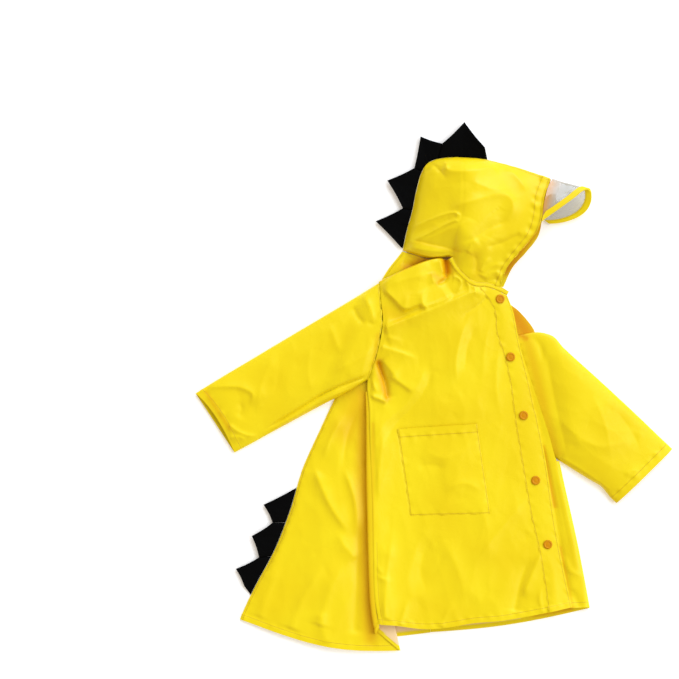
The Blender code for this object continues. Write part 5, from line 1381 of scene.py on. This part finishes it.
def build_visor(sizes):
    """The clear film as a ruled sheet with a slight wave, and the strip folded over its rim."""
    rim, inward, normal, width = visor_frames()
    share = np.linspace(0, 1, 26)
    reach = VISOR_START + share[None, :, None] * (width - VISOR_START - VISOR_SEAT)[:, None]
    middle = rim[:, None] + inward[:, None] * reach
    wave = np.sin(VISOR_STATIONS[:, None] * 23) * np.sin(share[None] * 5 + 0.6) * 0.7
    wave = wave * np.sin(math.pi * share[None])
    film = Cut(middle + normal[:, None] * (FILM_THICKNESS / 2 + wave[..., None]))
    # painted shade on the film towards the hood, where it also turns more opaque
    film.deep = 0.85 * np.exp(-((film.right / 13) ** 2)) * (1 - ease((VISOR_STATIONS[:, None] - 0.42) / 0.1))
    sheet_piece("visor_film", film, FILM_THICKNESS * MM, ["visor"],
                finishes=["clear film"])
    outside = VISOR_WALL / 2 + BINDING_SLACK + BINDING_LEAF
    depth = np.minimum(BINDING_WIDTH, 0.55 * width[:, 0] + VISOR_START - BINDING_LEAF)[:, None]
    turn = np.linspace(math.pi / 2, -math.pi / 2, 9)
    into = np.concatenate([depth * BINDING_LEGS, BINDING_NOSE * (1 - np.cos(turn)) + 0 * depth,
                           depth * BINDING_LEGS[::-1]], axis=1)
    up = np.concatenate([np.full(BINDING_LEGS.size, outside), outside * np.sin(turn),
                         np.full(BINDING_LEGS.size, -outside)])
    strip = rim[:, None] + inward[:, None] * into[..., None] + normal[:, None] * up[:, None]
    binding = Cut(strip)
    binding.sew(binding.left, BINDING_SEAM, binding.top, 0.0, sizes.pucker / MM * 0.6)
    sheet_piece("visor_binding_strip", binding, sizes.cloth_thickness, ["visor_binding"])
    return [binding.line(binding.left, BINDING_SEAM, False)]


# ---------------------------------------------------------------- snaps and teeth

SNAP_PROFILE = table(
    "radius z",
    (1.0, 0), (1.0, 1.0), (0.985, 1.4), (0.94, 1.85), (0.86, 2.2), (0.77, 2.4), (0.69, 2.35),
    (0.62, 2.05), (0.585, 1.8), (0.5, 1.85), (0.38, 2.0), (0.22, 2.1), (0.06, 2.14),
)
SNAP_SEAT_REACH = 16.0
TOOTH_ROWS, TOOTH_COLUMNS_HALF = 22, 20
TOOTH_EDGE, TOOTH_PUFF = 2.4, 1.4
TOOTH_CLEAR, TOOTH_INSET = 0.6, 0.7
TOOTH_SPREAD = 1.016  # closes the seam between neighbours
TOOTH_SAG = 1.6  # mm that a tooth's sides bow in towards its root


def build_snaps(sizes):
    """Five turned caps, each a profile spun about the placket's normal below it."""
    grid, across, _ = front_grid(6.0)
    strip = grid[:, across >= 3]
    strip[..., 2] += GAP + WALL
    normal = normals_of(strip).reshape(-1, 3)
    flat = strip.reshape(-1, 3)
    radius, z = SNAP_PROFILE["radius"] * sizes.snap_radius / MM, SNAP_PROFILE["z"]
    turn = np.arange(sizes.snap_sides) * 2 * math.pi / sizes.snap_sides
    for number, (x, y) in enumerate(zip(SNAPS["x"], SNAPS["y"]), 1):
        low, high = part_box(f"snap_cap_{number}")
        near = np.hypot(flat[:, 0] - x, flat[:, 1] - y)
        up = unit((normal * np.exp(-((near / SNAP_SEAT_REACH) ** 2))[:, None]).sum(0))
        side = unit(np.cross([0, 1, 0], up))
        ahead = np.cross(up, side)
        middle = (np.array(low) + np.array(high)) / 2 / MM + CENTRE - up * z.max() / 2
        spoke = np.cos(turn)[:, None] * side + np.sin(turn)[:, None] * ahead
        rings = middle + radius[:, None, None] * spoke + z[:, None, None] * up
        points = np.concatenate([rings.reshape(-1, 3), [middle, middle + up * z[-1]]])
        count = len(turn)
        s, t = np.arange(count), (np.arange(count) + 1) % count
        row = np.arange(len(z) - 1)[:, None] * count
        wall = np.stack([row + s, row + t, row + count + t, row + count + s], axis=-1).reshape(-1, 4)
        last = (len(z) - 1) * count
        base = np.column_stack([np.full(count, len(points) - 2), t, s])
        cap = np.column_stack([np.full(count, len(points) - 1), last + s, last + t])
        faces = wall.tolist() + base.tolist() + cap.tolist()
        piece = new_object(f"snap_button_{number}", points, faces, finish("snap plastic"))
        hold(piece, [f"snap_cap_{number}"])


def tooth(name, node, row, seam):
    """A padded tooth: a ruled patch from the seam to its two free edges, puffed between them.

    The puff is the square root of (1 - a^2) times 4 b (1 - b), a across the tooth and b from its
    seam to its free edge, wrinkled a little beside the seam.
    """
    count = 2 * TOOTH_COLUMNS_HALF + 1
    line = along(seam, np.linspace(row["seam_from"], row["seam_to"], count), "x y")
    base = offset_plan(line, -TOOTH_INSET)
    start, tip, end = (np.array([row[f"x_{n}"], row[f"y_{n}"]]) for n in ("from", "tip", "to"))
    share = np.linspace(0, 1, TOOTH_COLUMNS_HALF + 1)[:, None]
    sag = TOOTH_SAG * np.sin(math.pi * share)
    inward = unit(base.mean(0) - tip)
    edge = np.concatenate([start + share * (tip - start) + sag * inward,
                           (tip + share * (end - tip) + sag * inward)[1:]])
    up = np.linspace(0, 1, TOOTH_ROWS)[:, None, None]
    plan = (1 - up) * base[None] + up * edge[None]
    plan = plan.mean((0, 1)) + (plan - plan.mean((0, 1))) * TOOTH_SPREAD
    across, reach = np.linspace(-1, 1, count)[None], up[..., 0]
    puff = np.sqrt((1 - across ** 2) * np.clip(4 * reach * (1 - reach), 0, 1))
    wrinkle = 0.35 * np.sin(across * 17 + 2 * reach) * np.exp(-((reach / 0.3) ** 2)) * (1 - across ** 2)
    low = (TOOTH_CLEAR + row["lift"] * reach ** 1.5) * np.ones_like(puff)
    edge_rise = TOOTH_EDGE * (0.35 + 0.65 * round_rise(1 - np.abs(across), 0.16))
    high = low + edge_rise + TOOTH_PUFF * puff + wrinkle
    upper, under = np.dstack([plan, high]), np.dstack([plan, low])
    points = np.concatenate([upper.reshape(-1, 3), under.reshape(-1, 3)])
    number = np.arange(TOOTH_ROWS * count).reshape(TOOTH_ROWS, count)
    top = corners(number).reshape(-1, 4)
    rim = np.concatenate([number[0], number[1:, -1], number[-1, -2::-1], number[-2:0:-1, 0]])
    after = np.roll(rim, -1)
    offset = number.size
    skirt = np.column_stack([rim, after, after + offset, rim + offset])
    faces = np.concatenate([top, top[:, ::-1] + offset, skirt])
    piece = new_object(name, points, faces.tolist(), finish("black cloth"))
    with_outward_faces(piece)
    hold(piece, [node])


def with_outward_faces(piece):
    """All faces of a closed mesh turned outwards."""
    shape = bmesh.new()
    shape.from_mesh(piece.data)
    bmesh.ops.recalc_face_normals(shape, faces=shape.faces)
    shape.to_mesh(piece.data)
    shape.free()


def build_teeth():
    """The four teeth of the hood and the three of the tail."""
    for group, rows, seam in (("hood", HOOD_TEETH, HOOD_SEAM), ("tail", TAIL_TEETH, BACK_SEAM)):
        for number, values in enumerate(zip(*rows.values()), 1):
            tooth(f"{group}_tooth_{number}", f"{group}_spike_{number}", dict(zip(rows, values)), seam)


# ---------------------------------------------------------------- finishes

def place(tree, kind, inputs=None, **settings):
    """A node of that kind, its sockets given values or linked to another node's output."""
    node = tree.nodes.new(kind)
    for name, value in settings.items():
        setattr(node, name, value)
    for key, value in (inputs or {}).items():
        if isinstance(value, bpy.types.NodeSocket):
            tree.links.new(value, node.inputs[key])
        else:
            node.inputs[key].default_value = value
    return node


def maths(tree, operation, first, second=0.0, third=0.0, clamp=False):
    """The output of a Math node."""
    node = place(tree, "ShaderNodeMath", {0: first, 1: second, 2: third}, operation=operation)
    node.use_clamp = clamp
    return node.outputs[0]


def mixed(tree, factor, first, second):
    """The output of a Mix node for colours."""
    node = place(tree, "ShaderNodeMix", {0: factor, 6: first, 7: second}, data_type="RGBA")
    return node.outputs[2]


def node_group(name, inputs, outputs):
    """A new shader node group with those sockets, as (group, its inputs, its output node)."""
    group = bpy.data.node_groups.new(name, "ShaderNodeTree")
    for label, kind, default in inputs:
        socket = group.interface.new_socket(label, in_out="INPUT", socket_type=kind)
        if default is not None:
            socket.default_value = default
    for label, kind in outputs:
        group.interface.new_socket(label, in_out="OUTPUT", socket_type=kind)
    entry = group.nodes.new("NodeGroupInput").outputs
    return group, entry, group.nodes.new("NodeGroupOutput").inputs


def weave_group():
    """Plain weave: the product of two sines, over and under, and a slight unevenness of thread."""
    group, given, result = node_group(
        "plain weave",
        [("Lengths", "NodeSocketVector", None), ("Threads per metre", "NodeSocketFloat", 1800.0)],
        [("Height", "NodeSocketFloat"), ("Slub", "NodeSocketFloat")],
    )
    turns = maths(group, "MULTIPLY", given["Threads per metre"], math.pi)
    axes = place(group, "ShaderNodeSeparateXYZ", {0: given["Lengths"]}).outputs
    waves = [maths(group, "SINE", maths(group, "MULTIPLY", axes[k], turns)) for k in (0, 1)]
    group.links.new(maths(group, "MULTIPLY_ADD", maths(group, "MULTIPLY", *waves), 0.5, 0.5), result[0])
    slub = place(group, "ShaderNodeTexNoise", {"Vector": given["Lengths"], "Scale": 420.0, "Detail": 2.0})
    group.links.new(slub.outputs[0], result[1])
    return group


def crinkle_group():
    """Fine crinkles of a coated cloth: soft noise, with thin broken ridges where it crosses its mean."""
    group, given, result = node_group(
        "coat crinkle",
        [("Place", "NodeSocketVector", None), ("Scale", "NodeSocketFloat", 60.0)],
        [("Height", "NodeSocketFloat"), ("Tone", "NodeSocketFloat")],
    )
    soft = place(group, "ShaderNodeTexNoise",
                 {"Vector": given["Place"], "Scale": given["Scale"], "Detail": 3.0, "Roughness": 0.45})
    wide = maths(group, "MULTIPLY", given["Scale"], 0.35)
    bent = place(group, "ShaderNodeTexNoise",
                 {"Vector": given["Place"], "Scale": wide, "Detail": 2.0, "Distortion": 1.2})
    apart = maths(group, "ABSOLUTE", maths(group, "SUBTRACT", bent.outputs[0], 0.5))
    ridge = maths(group, "SUBTRACT", 1.0, maths(group, "MULTIPLY", apart, 14.0), clamp=True)
    height = maths(group, "MULTIPLY_ADD", ridge, 0.35, soft.outputs[0])
    group.links.new(height, result[0])
    tone = place(group, "ShaderNodeTexNoise", {"Vector": given["Place"], "Scale": 9.0, "Detail": 2.0})
    group.links.new(tone.outputs[0], result[1])
    return group


def seam_group():
    """Lines of stitches: a mask that is 1 on a line and 0 past the width, from attributes seam_N."""
    group, given, result = node_group(
        "stitched seam",
        [("Width", "NodeSocketFloat", 0.001)],
        [("Mask", "NodeSocketFloat"), ("Groove", "NodeSocketFloat")],
    )
    masks = []
    for number in range(1, 5):
        read = place(group, "ShaderNodeAttribute", attribute_name=f"seam_{number}").outputs["Fac"]
        away = maths(group, "ABSOLUTE", maths(group, "SUBTRACT", read, 1.0))
        masks.append(maths(group, "SUBTRACT", 1.0, maths(group, "DIVIDE", away, given["Width"]), clamp=True))
    mask = masks[0]
    for other in masks[1:]:
        mask = maths(group, "MAXIMUM", mask, other)
    group.links.new(mask, result[0])
    group.links.new(maths(group, "SUBTRACT", 1.0, mask), result[1])
    return group


GROUPS = {"plain weave": weave_group, "coat crinkle": crinkle_group, "stitched seam": seam_group}


def effect(tree, name, inputs):
    """One of the effect groups placed in a material, built the first time it is asked for."""
    group = bpy.data.node_groups.get(name) or GROUPS[name]()
    return place(tree, "ShaderNodeGroup", inputs, node_tree=group).outputs


def bumped(tree, height, distance, strength, normal=None):
    """The normal bent by a height in metres times `distance`."""
    inputs = {"Height": height, "Distance": distance, "Strength": strength}
    if normal is not None:
        inputs["Normal"] = normal
    return place(tree, "ShaderNodeBump", inputs).outputs[0]


def new_material(name):
    """An empty material with a Principled shader, as (material, its tree, the shader's inputs)."""
    material = bpy.data.materials.new(name)
    material.use_nodes = True
    return material, material.node_tree, material.node_tree.nodes["Principled BSDF"].inputs


def opaque(rgb, share=1.0):
    """A linear colour, or a share of it, with full alpha."""
    return (*(c * share for c in rgb), 1.0)


def coated_cloth(name, colours):
    """Bright coated cloth: weave and crinkles under a soft gloss, darker along its stitched lines, with
    painted shade in orange where the attribute deep says.
    """
    material, tree, shader = new_material(name)
    lengths = place(tree, "ShaderNodeUVMap", uv_map="cut").outputs[0]
    spot = place(tree, "ShaderNodeTexCoord").outputs["Object"]
    weave = effect(tree, "plain weave", {"Lengths": lengths})
    crinkle = effect(tree, "coat crinkle", {"Place": spot, "Scale": 70.0})
    seam = effect(tree, "stitched seam", {"Width": 0.0006})
    tone = maths(tree, "MULTIPLY_ADD", crinkle["Tone"], 2.4, -0.7, clamp=True)
    body = mixed(tree, tone, opaque(colours.yellow), opaque(colours.yellow_deep))
    # painted shade: the darker orange mixed in by the attribute deep
    deep = place(tree, "ShaderNodeAttribute", attribute_name="deep").outputs["Fac"]
    body = mixed(tree, deep, body, opaque(colours.painted_shade_colour))
    sewn = maths(tree, "MULTIPLY", seam["Mask"], 0.7)
    tree.links.new(mixed(tree, sewn, body, opaque(colours.seam)), shader["Base Color"])
    rough = maths(tree, "MULTIPLY_ADD", weave["Slub"], 0.12, 0.32)
    tree.links.new(rough, shader["Roughness"])
    shader["Specular IOR Level"].default_value = 0.22
    woven = bumped(tree, weave["Height"], 0.00006, 0.5)
    creased = bumped(tree, crinkle["Height"], 0.0004, 0.4, woven)
    tree.links.new(bumped(tree, seam["Groove"], 0.0003, 0.6, creased), shader["Normal"])
    return material


def cloth_inside(name, colours):
    """The uncoated inner face, matt and woven; the coated face shows where a hem is turned in; painted shade
    in orange where the attribute deep says.
    """
    material, tree, shader = new_material(name)
    lengths = place(tree, "ShaderNodeUVMap", uv_map="cut").outputs[0]
    spot = place(tree, "ShaderNodeTexCoord").outputs["Object"]
    weave = effect(tree, "plain weave", {"Lengths": lengths, "Threads per metre": 1500.0})
    crinkle = effect(tree, "coat crinkle", {"Place": spot, "Scale": 50.0})
    turned = place(tree, "ShaderNodeAttribute", attribute_name="turned").outputs["Fac"]
    pale = mixed(tree, crinkle["Tone"], opaque(colours.inside),
                 opaque(colours.inside, 0.93))
    # painted shade: the darker orange mixed in by the attribute deep
    deep = place(tree, "ShaderNodeAttribute", attribute_name="deep").outputs["Fac"]
    coat = mixed(tree, turned, pale, opaque(colours.yellow))
    tree.links.new(mixed(tree, deep, coat, opaque(colours.painted_shade_colour)), shader["Base Color"])
    tree.links.new(maths(tree, "MULTIPLY_ADD", weave["Slub"], 0.1, 0.6), shader["Roughness"])
    shader["Specular IOR Level"].default_value = 0.2
    woven = bumped(tree, weave["Height"], 0.0001, 0.6)
    tree.links.new(bumped(tree, crinkle["Height"], 0.0006, 0.5, woven), shader["Normal"])
    return material


def black_cloth(name, colours):
    """Matt black felted cloth with a little nap and lint."""
    material, tree, shader = new_material(name)
    spot = place(tree, "ShaderNodeTexCoord").outputs["Object"]
    nap = place(tree, "ShaderNodeTexNoise", {"Vector": spot, "Scale": 900.0, "Detail": 4.0}).outputs[0]
    crinkle = effect(tree, "coat crinkle", {"Place": spot, "Scale": 110.0})
    lint = maths(tree, "MULTIPLY_ADD", nap, 3.0, -1.6, clamp=True)
    worn = opaque(colours.black, 2.5)
    tree.links.new(mixed(tree, lint, opaque(colours.black), worn), shader["Base Color"])
    tree.links.new(maths(tree, "MULTIPLY_ADD", nap, 0.2, 0.6), shader["Roughness"])
    shader["Specular IOR Level"].default_value = 0.03
    fuzzy = bumped(tree, nap, 0.0003, 0.6)
    tree.links.new(bumped(tree, crinkle["Height"], 0.0008, 0.6, fuzzy), shader["Normal"])
    return material


def snap_plastic(name, colours):
    """Moulded plastic with a fine grain and a few scuffs."""
    material, tree, shader = new_material(name)
    spot = place(tree, "ShaderNodeTexCoord").outputs["Object"]
    grain = place(tree, "ShaderNodeTexNoise", {"Vector": spot, "Scale": 700.0, "Detail": 3.0}).outputs[0]
    scuff = place(tree, "ShaderNodeTexNoise", {"Vector": spot, "Scale": 160.0, "Detail": 2.0}).outputs[0]
    deep = opaque(colours.snap, 0.8)
    tree.links.new(mixed(tree, scuff, opaque(colours.snap), deep), shader["Base Color"])
    tree.links.new(maths(tree, "MULTIPLY_ADD", scuff, 0.25, 0.26), shader["Roughness"])
    shader["Specular IOR Level"].default_value = 0.16
    tree.links.new(bumped(tree, grain, 0.0001, 0.4), shader["Normal"])
    return material


def clear_film(name, colours):
    """Thin clear vinyl: half see-through, greyish, glossy and a little wavy; painted shade in orange, and
    less see-through, where the attribute deep says.
    """
    material, tree, shader = new_material(name)
    spot = place(tree, "ShaderNodeTexCoord").outputs["Object"]
    crinkle = effect(tree, "coat crinkle", {"Place": spot, "Scale": 34.0})
    grey = mixed(tree, crinkle["Tone"], opaque(colours.film), opaque(colours.film, 0.8))
    # painted shade: the factor named sewn is the attribute deep, which mixes in the darker orange and raises
    # the alpha
    sewn = place(tree, "ShaderNodeAttribute", attribute_name="deep").outputs["Fac"]
    tree.links.new(mixed(tree, sewn, grey, opaque(colours.painted_shade_colour)), shader["Base Color"])
    tree.links.new(maths(tree, "MULTIPLY_ADD", crinkle["Tone"], 0.06, 0.04), shader["Roughness"])
    tree.links.new(maths(tree, "MULTIPLY_ADD", sewn, 0.3, 0.4), shader["Alpha"])
    shader["Specular IOR Level"].default_value = 0.8
    tree.links.new(bumped(tree, crinkle["Height"], 0.0016, 0.6), shader["Normal"])
    return material


def sewing_thread(name, colours):
    """Polyester thread with a slight sheen and uneven tone."""
    material, tree, shader = new_material(name)
    spot = place(tree, "ShaderNodeTexCoord").outputs["Object"]
    tone = place(tree, "ShaderNodeTexNoise", {"Vector": spot, "Scale": 240.0, "Detail": 1.0}).outputs[0]
    deep = opaque(colours.thread, 0.6)
    tree.links.new(mixed(tree, tone, opaque(colours.thread), deep), shader["Base Color"])
    shader["Roughness"].default_value = 0.45
    return material


def white_floor(name, colours):
    """Plain white surface, barely uneven."""
    material, tree, shader = new_material(name)
    spot = place(tree, "ShaderNodeTexCoord").outputs["Object"]
    tone = place(tree, "ShaderNodeTexNoise", {"Vector": spot, "Scale": 3.0, "Detail": 1.0}).outputs[0]
    soft = opaque(colours.floor, 0.985)
    tree.links.new(mixed(tree, tone, opaque(colours.floor), soft), shader["Base Color"])
    shader["Roughness"].default_value = 0.8
    shader["Specular IOR Level"].default_value = 0.0
    shader["Emission Color"].default_value = (1, 1, 1, 1)
    shader["Emission Strength"].default_value = 0.22
    return material


FINISHES = {
    "coated cloth": coated_cloth, "cloth inside": cloth_inside, "black cloth": black_cloth,
    "snap plastic": snap_plastic, "clear film": clear_film, "sewing thread": sewing_thread,
    "white floor": white_floor,
}


def finish(name):
    """A finish by its name, made the first time it is asked for."""
    return bpy.data.materials.get(name) or FINISHES[name](name, bpy.context.scene.raincoat_colours)


# ---------------------------------------------------------------- stage

CAMERA_PLACE = (-0.16015, 0.0802, 3.0)
VIEW_WIDTH = 679 * 0.0017  # metres across the picture on the ground
SENSOR = 36.0
FLOOR_HALF = 4.0
LAMPS = table(
    "azimuth elevation spread strength",
    (70, 37, 40, 1.74),
    (2, 40, 44, 1.25),
)  # degrees, degrees, degrees and watts a square metre; azimuth from +X to +Y
LAMP_COLOUR = (0.87, 1.0, 1.18)
SKY_COLOUR = (1.16, 1.0, 0.79, 1.0)  # a warm fill that makes up what the lamps lack of white
SKY_LOW, SKY_HIGH = 0.74, 0.42


FLOOR_DROP = 0.4  # mm that the floor lies below the garment's underside


def build_stage():
    """Floor, sky, two soft lamps and the camera straight above."""
    h = FLOOR_HALF
    corner = np.array([(-h, -h), (h, -h), (h, h), (-h, h)]) / MM
    points = np.column_stack([corner, np.full(4, -FLOOR_DROP)])
    floor = new_object("floor", points, [(0, 1, 2, 3)], finish("white floor"))
    for number, (azimuth, elevation, spread, strength) in enumerate(zip(*LAMPS.values()), 1):
        lamp = bpy.data.lights.new(f"lamp_{number}", "SUN")
        lamp.angle = math.radians(spread)
        lamp.energy = strength
        lamp.color = LAMP_COLOUR
        holder = bpy.data.objects.new(f"lamp_{number}", lamp)
        holder.rotation_euler = (0, math.radians(90 - elevation), math.radians(azimuth))
        bpy.context.scene.collection.objects.link(holder)
    world = bpy.data.worlds.new("studio")
    bpy.context.scene.world = world
    world.use_nodes = True
    tree = world.node_tree
    ways = place(tree, "ShaderNodeTexCoord").outputs["Generated"]
    height = place(tree, "ShaderNodeSeparateXYZ", {0: ways}).outputs[2]
    level = place(tree, "ShaderNodeMapRange", {0: height, 1: 0.0, 2: 1.0, 3: SKY_LOW, 4: SKY_HIGH})
    tree.links.new(level.outputs[0], tree.nodes["Background"].inputs["Strength"])
    tree.nodes["Background"].inputs["Color"].default_value = SKY_COLOUR
    lens = bpy.data.cameras.new("camera")
    lens.sensor_width = SENSOR
    lens.lens = SENSOR * CAMERA_PLACE[2] / VIEW_WIDTH
    camera = bpy.data.objects.new("camera", lens)
    camera.location = CAMERA_PLACE
    bpy.context.scene.collection.objects.link(camera)
    bpy.context.scene.camera = camera
    view = bpy.context.scene.view_settings
    view.view_transform = "Standard"
    view.look = "None"


# ---------------------------------------------------------------- operators and panel

class RAINCOAT_OT_fronts(bpy.types.Operator):
    """Make both fronts, the placket, the pocket and their stitches"""
    bl_idname = "raincoat.fronts"
    bl_label = "Fronts, Placket and Pocket"

    def execute(self, context):
        sizes = context.scene.raincoat_sizes
        build_fronts(sizes)
        stitches("left_front_stitches", [build_left_front(sizes)], sizes)
        return {"FINISHED"}


class RAINCOAT_OT_backs(bpy.types.Operator):
    """Make both halves of the back and their stitches"""
    bl_idname = "raincoat.backs"
    bl_label = "Backs"

    def execute(self, context):
        sizes = context.scene.raincoat_sizes
        stitches("back_stitches", build_backs(sizes), sizes)
        return {"FINISHED"}


class RAINCOAT_OT_sleeves(bpy.types.Operator):
    """Make both sleeves and their stitches"""
    bl_idname = "raincoat.sleeves"
    bl_label = "Sleeves"

    def execute(self, context):
        sizes = context.scene.raincoat_sizes
        stitches("sleeve_stitches", build_sleeves(sizes), sizes)
        return {"FINISHED"}


class RAINCOAT_OT_hood(bpy.types.Operator):
    """Make both sides of the hood, the neck band and their stitches"""
    bl_idname = "raincoat.hood"
    bl_label = "Hood and Neck Band"

    def execute(self, context):
        sizes = context.scene.raincoat_sizes
        stitches("hood_stitches", build_hood(sizes), sizes)
        return {"FINISHED"}


class RAINCOAT_OT_visor(bpy.types.Operator):
    """Make the clear visor, its binding and their stitches"""
    bl_idname = "raincoat.visor"
    bl_label = "Visor"

    def execute(self, context):
        sizes = context.scene.raincoat_sizes
        stitches("visor_stitches", build_visor(sizes), sizes)
        return {"FINISHED"}


class RAINCOAT_OT_snaps(bpy.types.Operator):
    """Make the five snap caps on the placket"""
    bl_idname = "raincoat.snaps"
    bl_label = "Snaps"

    def execute(self, context):
        build_snaps(context.scene.raincoat_sizes)
        return {"FINISHED"}


class RAINCOAT_OT_teeth(bpy.types.Operator):
    """Make the black teeth of the hood and the tail"""
    bl_idname = "raincoat.teeth"
    bl_label = "Teeth"

    def execute(self, context):
        build_teeth()
        return {"FINISHED"}


class RAINCOAT_OT_stage(bpy.types.Operator):
    """Make the floor, the lights and the camera"""
    bl_idname = "raincoat.stage"
    bl_label = "Stage"

    def execute(self, context):
        build_stage()
        return {"FINISHED"}


OPERATORS = (
    RAINCOAT_OT_stage, RAINCOAT_OT_backs, RAINCOAT_OT_fronts, RAINCOAT_OT_sleeves, RAINCOAT_OT_hood,
    RAINCOAT_OT_visor, RAINCOAT_OT_snaps, RAINCOAT_OT_teeth,
)


class RAINCOAT_PT_pieces(bpy.types.Panel):
    """Sizes, colours and pieces of the raincoat"""
    bl_label = "Raincoat"
    bl_idname = "RAINCOAT_PT_pieces"
    bl_space_type = "VIEW_3D"
    bl_region_type = "UI"
    bl_category = "Raincoat"

    def draw(self, context):
        for settings in (context.scene.raincoat_sizes, context.scene.raincoat_colours):
            box = self.layout.box()
            for name in settings.__annotations__:
                box.prop(settings, name)
        for operator in OPERATORS:
            self.layout.operator(operator.bl_idname)


CLASSES = (RaincoatSizes, RaincoatColours, *OPERATORS, RAINCOAT_PT_pieces)


def register():
    for item in CLASSES:
        bpy.utils.register_class(item)
    bpy.types.Scene.raincoat_sizes = PointerProperty(type=RaincoatSizes)
    bpy.types.Scene.raincoat_colours = PointerProperty(type=RaincoatColours)


def unregister():
    del bpy.types.Scene.raincoat_colours
    del bpy.types.Scene.raincoat_sizes
    for item in reversed(CLASSES):
        bpy.utils.unregister_class(item)


def main():
    """Makes every piece in order."""
    register()
    for operator in OPERATORS:
        group, name = operator.bl_idname.split(".")
        getattr(getattr(bpy.ops, group), name)()


if __name__ == "__main__":
    main()
